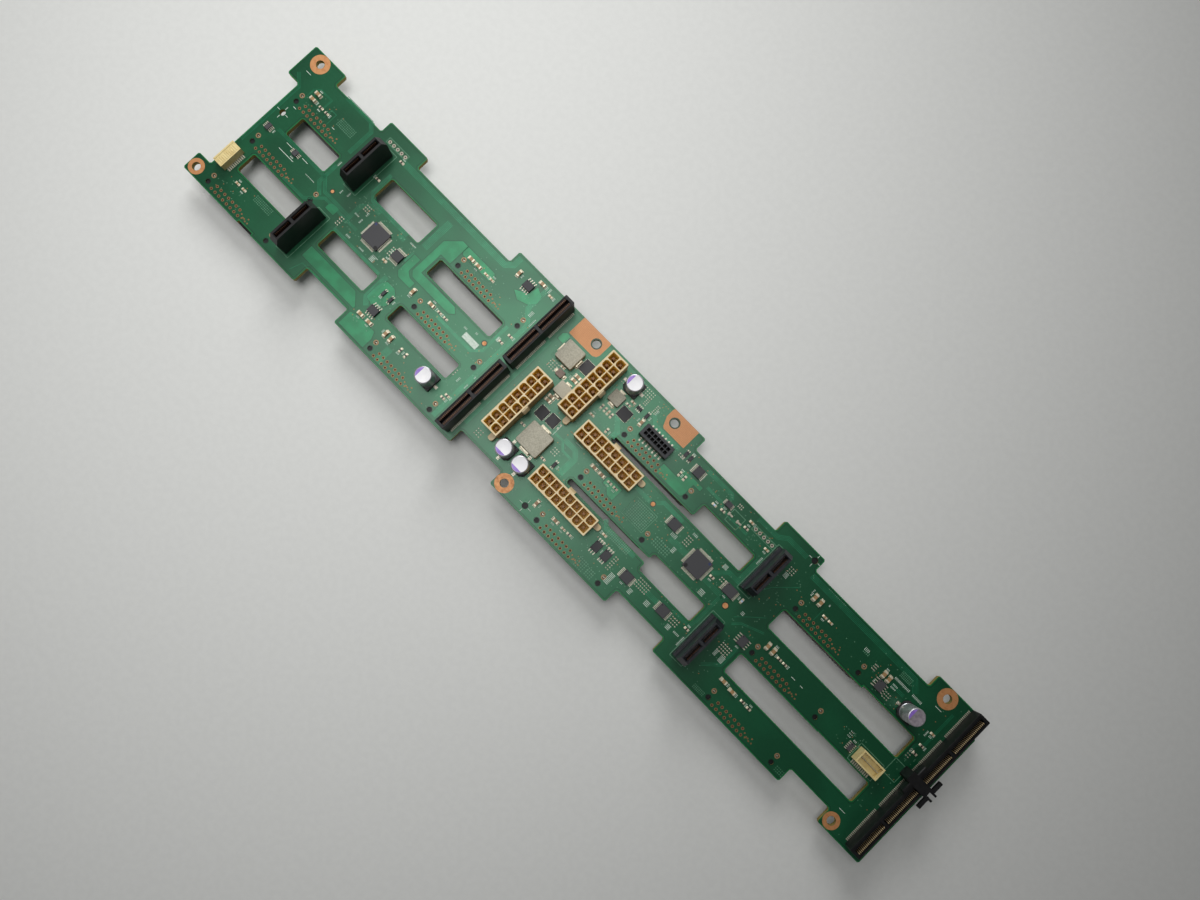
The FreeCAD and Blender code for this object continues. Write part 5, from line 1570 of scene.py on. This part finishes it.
@dataclass
class CoilStraps:
    """The coils' end straps: each stands on its pad and folds out at the foot."""

    foot: float = 0.7

    def build(self) -> Pieces:
        """Build a bevelled strap in each strap's box, with a foot and a pad a little wider.

        Returns:
            One piece.
        """
        forms = []
        for box in solids("coil_straps"):
            plan = box.size[:2]
            strap = slab(*plan, SEAT, box.high[2], 0.12)
            x, y = plan + np.where(plan < plan.max(), self.foot, 0.2)
            foot = slab(x, y, SEAT, TOP + 0.22, 0.08)
            pad = plate(rounded(x / 2 + 0.2, y / 2 + 0.2, 0.1), Layer.LAND.height)
            forms.append(Form.joined([strap, foot, pad]).moved(*box.middle[:2]))
        return [Form.joined(forms).piece("folded_coil_straps", [CAP_END], "tinned_metal", ["coil_straps"])]


@dataclass
class ReceptacleContacts:
    """The twenty-two blades in each receptacle's port."""

    pitch: float = 1.27
    width: float = 0.8
    point: float = 0.5

    def build(self) -> Pieces:
        """Build blades along each row's box, each with a bevelled tip.

        Returns:
            One piece.
        """
        forms = []
        for box in solids("receptacle_contacts"):
            run, deep, _ = box.size
            count = int(round((run - self.width) / self.pitch)) + 1
            blunt = rounded(self.width / 2, deep / 2)
            tip = rounded(self.width / 2 - 0.1, deep / 4)
            blade = loft([tip, blunt, blunt], [box.low[2], box.low[2] + self.point, box.high[2]])
            xs = rows(box.low[0] + self.width / 2, self.pitch, count)
            forms.append(blade.at(lattice(xs, [box.middle[1]])))
        form = Form.joined(forms)
        return [form.piece("receptacle_blades", [GOLD], "gold_contact", ["receptacle_contacts"])]


@dataclass
class SignalSocket:
    """The two-by-seven signal socket with funnel mouths, and its tails."""

    columns: int = 7
    pitch: float = 2.0

    def build(self) -> Pieces:
        """Build the block, and a bent tail with its pad at each plain tail's place along the sides.

        Returns:
            The block and the tails.
        """
        box = span("signal_socket")
        half_x, half_y, height = box.size * (0.5, 0.5, 1)
        # The rim is slate and the walls and floors are black: a painted sheen on the upward faces of the
        # black socket.
        block = CavityBlock(self.columns, self.pitch, half_x, half_y, height, floor=1.6, mouth=0.82,
                            bore=0.5, lead_in=0.7, corner=0.05, steps=1, paints=(0, 1, 1))
        form = block.form()
        form.patches = [(faces, min(paint, 1)) for faces, paint in form.patches]
        tail = bent([(-0.2, 0.9), (0.35, 0.9), (0.75, 0.14), (1.6, 0.14)], 0.22, 0.5).moved(z=TOP)
        tail += plate(rounded(0.8, 0.4, 0.1), Layer.LAND.height).moved(0.9)
        places = np.array([each.middle[:2] for each in solids("signal_socket_tails")])
        tails = []
        for sign in (1, -1):
            xs = places[(places[:, 1] - box.middle[1]) * sign > 0, 0]
            tails.append(tail.turned(90 * sign).at(lattice(xs, [box.middle[1] + sign * half_y])))
        return [form.on_board(box.middle).piece("funnelled_signal_socket", [SLATE, BLACK], "socket_plastic",
                                                ["signal_socket"]),
                Form.joined(tails).piece("signal_tails", [SOLDER], "tinned_metal", ["signal_socket_tails"])]


@dataclass
class PanelPins:
    """Pins and feet of the two panel wire headers."""

    pitch: float = 1.0
    longest_pin: float = 4.5

    def build(self) -> Pieces:
        """Build a pointed pin in each pin's box, and single feet along the longer boxes.

        Returns:
            One piece.
        """
        forms = []
        for box in solids("panel_header_pins"):
            x, y, _ = box.size
            if box.size.max() > self.longest_pin:
                foot = slab(0.42, min(x, y) + 0.3, SEAT, TOP + 0.3, 0.06)
                foot += plate(rounded(0.32, min(x, y) / 2 + 0.35), Layer.LAND.height)
                row = foot.at(lattice(centred(self.pitch, int(max(x, y) / self.pitch) + 1), [0.0]))
                form = row if x > y else row.turned(90)
            else:
                outline = rounded(x / 2, y / 2, 0.05)
                form = loft([outline, outline, outline * 0.6], [box.low[2], box.high[2] - 0.1, box.high[2]])
            forms.append(form.moved(*box.middle[:2]))
        return [Form.joined(forms).piece("panel_pins", [TINNED], "tinned_metal", ["panel_header_pins"])]


@dataclass
class HeaderRibs:
    """The moulded ribs on top of the side panel header, one beside each contact, and its stop bar."""

    pitch: float = 1.0
    length: float = 2.9
    width: float = 0.5
    rise: float = 0.2
    inset: float = 0.6

    def build(self) -> Pieces:
        """Build bevelled ribs along the header's top, and a bar across their outer ends.

        Returns:
            One piece.
        """
        box = span("side_panel_header")
        low, high = box.high[2] - 0.05, box.high[2] + self.rise
        ys = box.middle[1] + centred(self.pitch, int((box.size[1] - 1.2) / self.pitch))
        ribs = slab(self.length, self.width, low, high, 0.1).at(lattice([box.middle[0] + self.inset], ys))
        bar = slab(0.7, box.size[1] - 0.6, low, high, 0.1).moved(box.low[0] + self.inset, box.middle[1])
        return [(ribs + bar).piece("side_header_ribs", [IVORY], "header_plastic")]


# ------------ the power parts

class Side(Enum):
    """The side of a can that its polarity mark is on, as a turn in degrees."""

    LEFT = 180
    LOWER = -90


@dataclass
class Cans:
    """The five can capacitors, each with a crimp groove, a rounded shoulder and a polarity mark."""

    marks: tuple[Side, ...] = (Side.LEFT, Side.LOWER, Side.LOWER, Side.LEFT, Side.LEFT)
    # The fifth can's top takes finish 3, its painted shade.
    tops: tuple[int, ...] = (1, 1, 1, 1, 3)
    shoulder: float = 0.55
    groove: float = 0.38
    chord: float = 0.56

    def can(self, radius: float, low: float, high: float, top: int) -> Form:
        """Make a can turned about Z: its radius follows the profile wall, groove, wall, rounded top.

        The shoulder is a quarter arc: inset = s (1 - cos t) and height = high - s (1 - sin t).

        Args:
            radius: the wall's radius.
            low: the height of its foot.
            high: the height of its top.
            top: the finish number of its top.

        Returns:
            The can about the Z axis.
        """
        s, groove = self.shoulder, radius - self.groove
        shoulder = [(radius - s * (1 - math.cos(t)), high - s * (1 - math.sin(t)))
                    for t in np.linspace(0, math.pi / 2, 5)[1:]]
        profile = [(radius - 0.15, low), (radius, low + 0.15), (radius, low + 0.55), (groove, low + 0.85),
                   (groove, low + 1.0), (radius, low + 1.3), (radius, high - s), *shoulder,
                   (radius - s - 0.12, high - 0.05)]
        paints = [0] * (len(profile) - 2) + [top, top]
        return loft([ring(r, 48) for r, _ in profile], [h for _, h in profile], paints)

    def mark(self, radius: float, height: float) -> Form:
        """Make the polarity mark: the part of the top beyond a chord.

        Args:
            radius: the can's radius.
            height: the top's height.

        Returns:
            The mark on the +X side.
        """
        half = math.acos(self.chord)
        turn = np.linspace(-half, half, 17)
        arc = (radius - self.shoulder) * np.column_stack([np.cos(turn), np.sin(turn)])
        return plate(arc, height + 0.02, 2)

    def build(self) -> Pieces:
        """Build the cans with their marks, and their bases with solder tabs.

        Returns:
            The cans and the bases.
        """
        square = rounded(4.2, 4.2, (1.7, 1.7, 0.3, 0.3))
        inner = rounded(4.05, 4.05, (1.65, 1.65, 0.25, 0.25))
        tab = slab(2.0, 0.8, SEAT, TOP + 0.4, 0.08, 1) + plate(rounded(1.4, 0.7, 0.1), Layer.LAND.height, 1)
        tabs = tab.at(lattice((-4.5, 4.5), [0.0]))
        cans, bases = [], []
        for box, side, top in zip(solids("capacitors"), self.marks, self.tops):
            radius, low, high = box.size[0] / 2, box.low[2], box.high[2]
            form = self.can(radius, low, high, top) + self.mark(radius, high - 0.04).turned(side.value)
            cans.append(form.moved(*box.middle[:2]))
            base = loft([square, square, inner], [TOP + 0.05, low - 0.2, low - 0.02]).turned(-90) + tabs
            bases.append(base.turned(side.value).moved(*box.middle[:2]))
        return [Form.joined(cans).piece("turned_cans", [CAN, CAN_TOP, MARK, CAN_TOP_PAINTED_SHADE], "capacitor_can",
                                        ["capacitors"]),
                Form.joined(bases).piece("can_bases", [BASE, SOLDER], "socket_plastic", ["capacitor_bases"])]


@dataclass
class Coils:
    """The five pressed coils with rounded edges."""

    finishes: tuple[Finish, ...] = (POWDER, POWDER, POWDER, POWDER, UMBER)
    corner: float = 0.15
    edge: float = 0.06
    draft: float = 0.1

    def build(self) -> Pieces:
        """Build each coil: rounded rectangles whose inset follows a quarter arc at the top edge.

        Returns:
            Five pieces.
        """
        made = []
        turn = np.linspace(0, math.pi / 2, 4)
        for number, finish in enumerate(self.finishes, start=1):
            node = f"power_coil_{number}"
            box = span(node)
            half_x, half_y, _ = box.size / 2
            corner, edge = self.corner * half_x, self.edge * half_x
            insets, drops = edge * (1 - np.cos(turn)), edge * (1 - np.sin(turn))
            arcs = [rounded(half_x - i, half_y - i, corner - i * 0.5, 5) for i in insets]
            outlines = [rounded(half_x - self.draft, half_y - self.draft, corner, 5), arcs[0], *arcs]
            heights = [box.low[2] + 0.02, box.low[2] + 0.25, *(box.high[2] - drops)]
            form = loft(outlines, heights).moved(*box.middle[:2])
            made.append(form.piece(f"pressed_coil_{number}", [finish], "coil_moulding", [node]))
        return made


# ------------ the chips

@dataclass(frozen=True)
class Legs:
    """How a chip stands: the axis its legs point along, their pitch, reach and width."""

    axis: str
    pitch: float
    reach: float = 1.1
    width: float = 0.42
    margin: float = 0.35
    inset: float = 0.0


@dataclass
class Chips:
    """Moulded chips with bent legs, in the order of their places along X."""

    node: str
    legs: tuple[Legs, ...]
    heel: float = 0.14

    def body(self, size: np.ndarray) -> Form:
        """Make a chip's body: rectangles with a drafted foot and a small bevel at the top.

        Args:
            size: its size along X, Y and Z.

        Returns:
            The body about its own middle, from its foot.
        """
        x, y, height = size[0] / 2, size[1] / 2, size[2]
        levels = [(0.14, 0.12), (0.0, height / 2), (0.1, height - 0.1), (0.2, height)]
        return loft([rounded(x - i, y - i, 0.08) for i, _ in levels], [h for _, h in levels])

    def rank(self, size: np.ndarray, legs: Legs) -> Form:
        """Make both rows of legs: each leaves at half height, drops and rests on its pad.

        Args:
            size: the chip's size along X, Y and Z.
            legs: how it stands.

        Returns:
            The legs and pads about the chip's middle.
        """
        across, along = size[:2] if legs.axis == "x" else size[1::-1]
        count = max(2, int((along - legs.margin) / legs.pitch) + 1)
        knee, reach = size[2] * 0.5, legs.reach
        path = [(-0.1, knee), (reach * 0.28, knee), (reach * 0.5, self.heel), (reach, self.heel)]
        pad = plate(rounded(reach * 0.42, legs.width / 2 + 0.06, 0.05), Layer.LAND.height - TOP, 2)
        one = (bent(path, 0.15, legs.width, 1) + pad.moved(reach * 0.75)).moved(across / 2)
        row = one.at(lattice([0.0], centred(legs.pitch, count)))
        both = row + row.turned(180)
        return both if legs.axis == "x" else both.turned(90)

    def build(self) -> Pieces:
        """Build every chip of the node, with a dimple at its first leg.

        Returns:
            One piece.
        """
        forms = []
        for box, legs in zip(solids(self.node), self.legs):
            size = box.size
            size[0 if legs.axis == "x" else 1] -= 2 * legs.inset
            dimple = disc(0.28, 12, size[2] + 0.004, 3).moved(0.7 - size[0] / 2, size[1] / 2 - 0.7)
            forms.append((self.body(size) + self.rank(size, legs) + dimple).on_board(box.middle))
        finishes = [EPOXY, TINNED, SOLDER, BLACK]
        return [Form.joined(forms).piece(f"legged_{self.node}", finishes, "chip_epoxy", [self.node])]


@dataclass
class PowerStages:
    """Flat power chips with no legs: a body with pads showing at its edges."""

    pitch: float = 0.6

    def build(self) -> Pieces:
        """Build each body, with small pads stepped round its four sides.

        Returns:
            One piece.
        """
        forms = []
        for box in solids("power_stages"):
            x, y, height = box.size
            parts = [slab(x, y, 0.02, height, 0.06),
                          disc(0.3, 12, height + 0.004, 2).moved(0.8 - x / 2, y / 2 - 0.8)]
            for along, across, turn in ((x, y, 90), (y, x, 0)):
                steps = centred(self.pitch, int((along - 1.0) / self.pitch) + 1)
                pad = slab(0.5, 0.3, 0.02, 0.22, 0.04, 1).moved(across / 2 + 0.12)
                row = pad.at(lattice([0.0], steps))
                parts += [row.turned(turn), row.turned(turn + 180)]
            forms.append(Form.joined(parts).on_board(box.middle))
        finishes = [EPOXY, SOLDER, BLACK]
        return [Form.joined(forms).piece("padded_power_stages", finishes, "chip_epoxy", ["power_stages"])]


@dataclass
class Controllers:
    """The two controllers: square bodies with sixteen fine legs on each side and a blue dot."""

    pitch: float = 0.5
    dots: Path = ((-3.9, 3.9), (3.6, 3.9))

    def build(self) -> Pieces:
        """Build both bodies, each with a blue dot and a dimple across from it, and all their legs.

        Returns:
            The bodies and the legs.
        """
        bodies, ranks = [], []
        nodes = [f"controller_{number}" for number in (1, 2)]
        maker, legs = Chips("controllers", ()), Legs("x", self.pitch, 1.15, 0.24, 2.2)
        for node, (x, y) in zip(nodes, self.dots):
            box = span(node)
            dot = disc(0.62, 20, box.size[2] + 0.006, 1).moved(x, y)
            dimple = disc(0.9, 24, box.size[2] + 0.004, 2).moved(-x, -y)
            bodies.append((maker.body(box.size) + dot + dimple).on_board(box.middle))
            row = maker.rank(box.size, legs)
            ranks.append((row + row.turned(90)).on_board(box.middle))
        return [Form.joined(bodies).piece("controller_bodies", [EPOXY, DOT, BLACK], "chip_epoxy", nodes),
                Form.joined(ranks).piece("controller_legs", [EPOXY, TINNED, SOLDER], "tinned_metal",
                                         ["controller_leads"])]


@dataclass
class EndedChips:
    """Two-ended chips: a ceramic middle between bright caps, on solder fillets."""

    node: str
    cap_share: float
    pale_every: int
    lenses: Path = ((104.5, 33.7), (143.0, 12.7))

    def build(self) -> Pieces:
        """Build each chip along the longer side of its box.

        A chip is a bar between two caps that stand a little proud of it. Each cap has a fillet that
        slopes down to its pad. With pale_every set, one chip in so many is pale and the others are dark.

        Returns:
            One piece.
        """
        forms = []
        for index, box in enumerate(solids(self.node)):
            x, y, height = box.size
            length, width = max(x, y), min(x, y)
            cap = length * self.cap_share
            dark = self.pale_every and index % self.pale_every
            lens = any(math.dist(box.middle[:2], place) < 1.2 for place in self.lenses)
            paint = 3 if lens else 1 if dark else 0
            core = slab(length - 0.1, width - 0.06, 0.05, height - 0.03, 0.05, paint)
            end = slab(cap, width, 0.03, height, 0.07, 2).moved((length - cap) / 2)
            slope = bent([(length / 2 - 0.05, height * 0.3), (length / 2 + 0.32, 0.06)], 0.1, width * 0.9, 2)
            pad = plate(rounded(cap / 2 + 0.3, width / 2 + 0.08, 0.05), Layer.LAND.height - TOP, 2)
            half = end + slope + pad.moved((length - cap) / 2 + 0.15)
            form = core + half + half.turned(180)
            forms.append((form if x > y else form.turned(90)).on_board(box.middle))
        finishes = [TAN, UMBRA, CAP_END, OPAL]
        return [Form.joined(forms).piece(f"capped_{self.node}", finishes, "chip_ceramic", [self.node])]


# ------------ the stage

def hung(name: str, data: bpy.types.ID, facing: np.ndarray, place: np.ndarray) -> bpy.types.Object:
    """Hang a camera or a lamp in the scene.

    Args:
        name: its name.
        data: the camera's or the lamp's own data.
        facing: a matrix with its X, Y and Z axes as columns. It looks along -Z.
        place: its place in metres of the row frame.

    Returns:
        The new object.
    """
    made = bpy.data.objects.new(name, data)
    bpy.context.scene.collection.objects.link(made)
    whole = np.eye(4)
    whole[:3, :3], whole[:3, 3] = facing, place
    made.matrix_world = Matrix(whole.tolist())
    return made


@dataclass(frozen=True)
class SoftLamp:
    """A square lamp: its place and its aim on the drive grid, its side in metres and its cone of light."""

    name: str
    place: tuple[float, float, float]
    aim: tuple[float, float, float]
    side: float
    watts: float
    spread: float = 80.0

    def hang(self) -> None:
        """Hang the lamp. It looks along its run from place to aim, and one pair of its sides is level."""
        data = bpy.data.lights.new(self.name, "AREA")
        data.shape, data.size, data.energy = "SQUARE", self.side, self.watts
        data.spread = math.radians(self.spread)
        start = (np.array(self.place) + GRID) * MM
        away = (np.array(self.aim) + GRID) * MM - start
        away = away / np.linalg.norm(away)
        up = np.cross(away, (1.0, 0.0, 0.0))
        up /= np.linalg.norm(up)
        hung(self.name, data, np.column_stack([np.cross(up, -away), up, -away]), start)


@dataclass
class Studio:
    """The pale floor, the soft lights and the camera."""

    floor: Colour = (222, 223, 220)
    reach: float = 3000.0
    sky: float = 0.12
    lamps: tuple[SoftLamp, ...] = (
        SoftLamp("window_light", (-135.0, 50.0, 760.0), (-100.0, 10.0, 0.0), 0.45, 0.7),
        SoftLamp("side_light", (-520.0, 600.0, 520.0), (-130.0, 10.0, 0.0), 0.5, 1.25),
    )
    sensor: float = 36.0
    lens: float = 25.662
    turn: tuple[float, float, float] = (2.821, 1.188, -0.033)
    shift: tuple[float, float, float] = (-46.389, -26.371, 384.523)

    def camera(self) -> None:
        """Place the camera: a point P of the board is seen at R P + t, with Z ahead and Y down."""
        angle = float(np.linalg.norm(self.turn))
        rotation = np.array(Matrix.Rotation(angle, 3, np.array(self.turn) / angle))
        middle = (-rotation.T @ np.array(self.shift) + GRID + (0, 0, TOP)) * MM
        data = bpy.data.cameras.new("view")
        data.sensor_width, data.lens = self.sensor, self.lens
        data.clip_start, data.clip_end = 0.01, 20.0
        bpy.context.scene.camera = hung("view", data, rotation.T @ np.diag([1.0, -1.0, -1.0]), middle)

    def build(self) -> None:
        """Make the floor, the sky, the lamps and the camera."""
        self.paper()
        world = bpy.data.worlds.new("sky")
        world.use_nodes = True
        sockets = world.node_tree.nodes["Background"].inputs
        sockets["Color"].default_value = (1.0, 1.0, 1.0, 1.0)
        sockets["Strength"].default_value = self.sky
        bpy.context.scene.world = world
        for lamp in self.lamps:
            lamp.hang()
        self.camera()
        bpy.context.scene.view_settings.view_transform = "Standard"

    def paper(self) -> None:
        """Lay the floor: a wide sheet of faintly mottled paper just below the board's stand."""
        graph = Graph("floor_paper")
        fibres = graph.noise(3.0, 4.0)
        pale, shaded = linear(self.floor), linear(self.floor, 0.97)
        graph.set(Base_Color=graph.mix(fibres.ramp(0.3, 0.7), pale, shaded), Roughness=0.9)
        sheet = band([(-self.reach, 0.0), (self.reach, 0.0)], 2 * self.reach, -0.02)
        mesh = bpy.data.meshes.new("floor")
        mesh.from_pydata((sheet.points + GRID) * MM, [], sheet.patches[0][0].tolist())
        mesh.materials.append(graph.material)
        floor = bpy.data.objects.new("floor", mesh)
        bpy.context.scene.collection.objects.link(floor)


# ------------ assembly

class Assembly(Protocol):
    """What every sub-assembly can do."""

    def build(self) -> Pieces:
        """Return the sub-assembly's finished pieces."""


def dress_nodes() -> None:
    """Give every CAD node the finish of its slot, or its own."""
    slots = {part["node"]: part["material_slot"] for part in frame["record"]["subparts"]}
    for name, node in frame["nodes"].items():
        finish = NODE_FINISH.get(name, SLOT_FINISH[slots[name]])
        node.data.materials.clear()
        node.data.materials.append(finish.material())
        LOG.info("dressed %s in %s", name, finish.name)


def assemblies() -> list[Assembly]:
    """List the board's sub-assemblies.

    Returns:
        What main builds, in its order.
    """
    fine, wide, tall = Legs("x", 0.65, 1.2, 0.3, 0.5), Legs("x", 1.27, 1.3), Legs("y", 1.27, 1.3)
    logic = (Legs("y", 0.65, 1.2, 0.3, 0.5), *[tall] * 4, *[fine] * 3, Legs("x", 0.5, 0.8, 0.25, 0.4),
             fine, fine, wide, wide)
    small = (Legs("x", 0.8, 1.1, 0.36, 0.6, 1.05), Legs("x", 0.8, 1.2, 0.36, 0.6, 1.15),
             *[Legs("y", 0.95, 0.7, 0.4)] * 7, Legs("x", 0.9, 0.8, 0.4))
    return [
        CopperPours(), Tracks(), Vias(), EdgeLines(), CopperLands(), ReceptacleHoles(), ScreenInk(),
        BarePads(), PowerHeaders(), ContactRows("riser_socket_contacts", 0.8, 0.36, CONTACT_PAINTED_SHADE, TINNED, True),
        CombSockets(("riser_socket_1", "riser_socket_2"), CONTACT_PAINTED_SHADE),
        ContactRows("edge_socket_contacts", 0.8, 0.4, GOLD, SOLDER, True),
        CombSockets(("edge_socket_1", "edge_socket_2"), GOLD, lip=0.9, key_share=0.46, tips=(2.6, 0.3)),
        GuideArms(), CoilStraps(), ContactRows("card_socket_contacts", 0.8, 0.36, CONTACT_PAINTED_SHADE, TINNED),
        ReceptacleContacts(), SignalSocket(), PanelPins(), HeaderRibs(), Cans(), Coils(),
        Chips("logic_chips", logic), Chips("sensor_chips", small), PowerStages(), Controllers(),
        EndedChips("large_chip_capacitors", 0.26, 0), EndedChips("small_chip_resistors", 0.3, 3),
    ]


def main() -> None:
    """Build the stage, dress the CAD nodes and build every sub-assembly in order, logging each piece and its
    faces.
    """
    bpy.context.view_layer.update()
    Studio().build()
    dress_nodes()
    for assembly in assemblies():
        for made in assembly.build():
            LOG.info("built %s with %d faces", made.name, len(made.data.polygons))


if __name__ == "__main__":
    logging.basicConfig(level=logging.INFO, format="%(message)s")
    main()
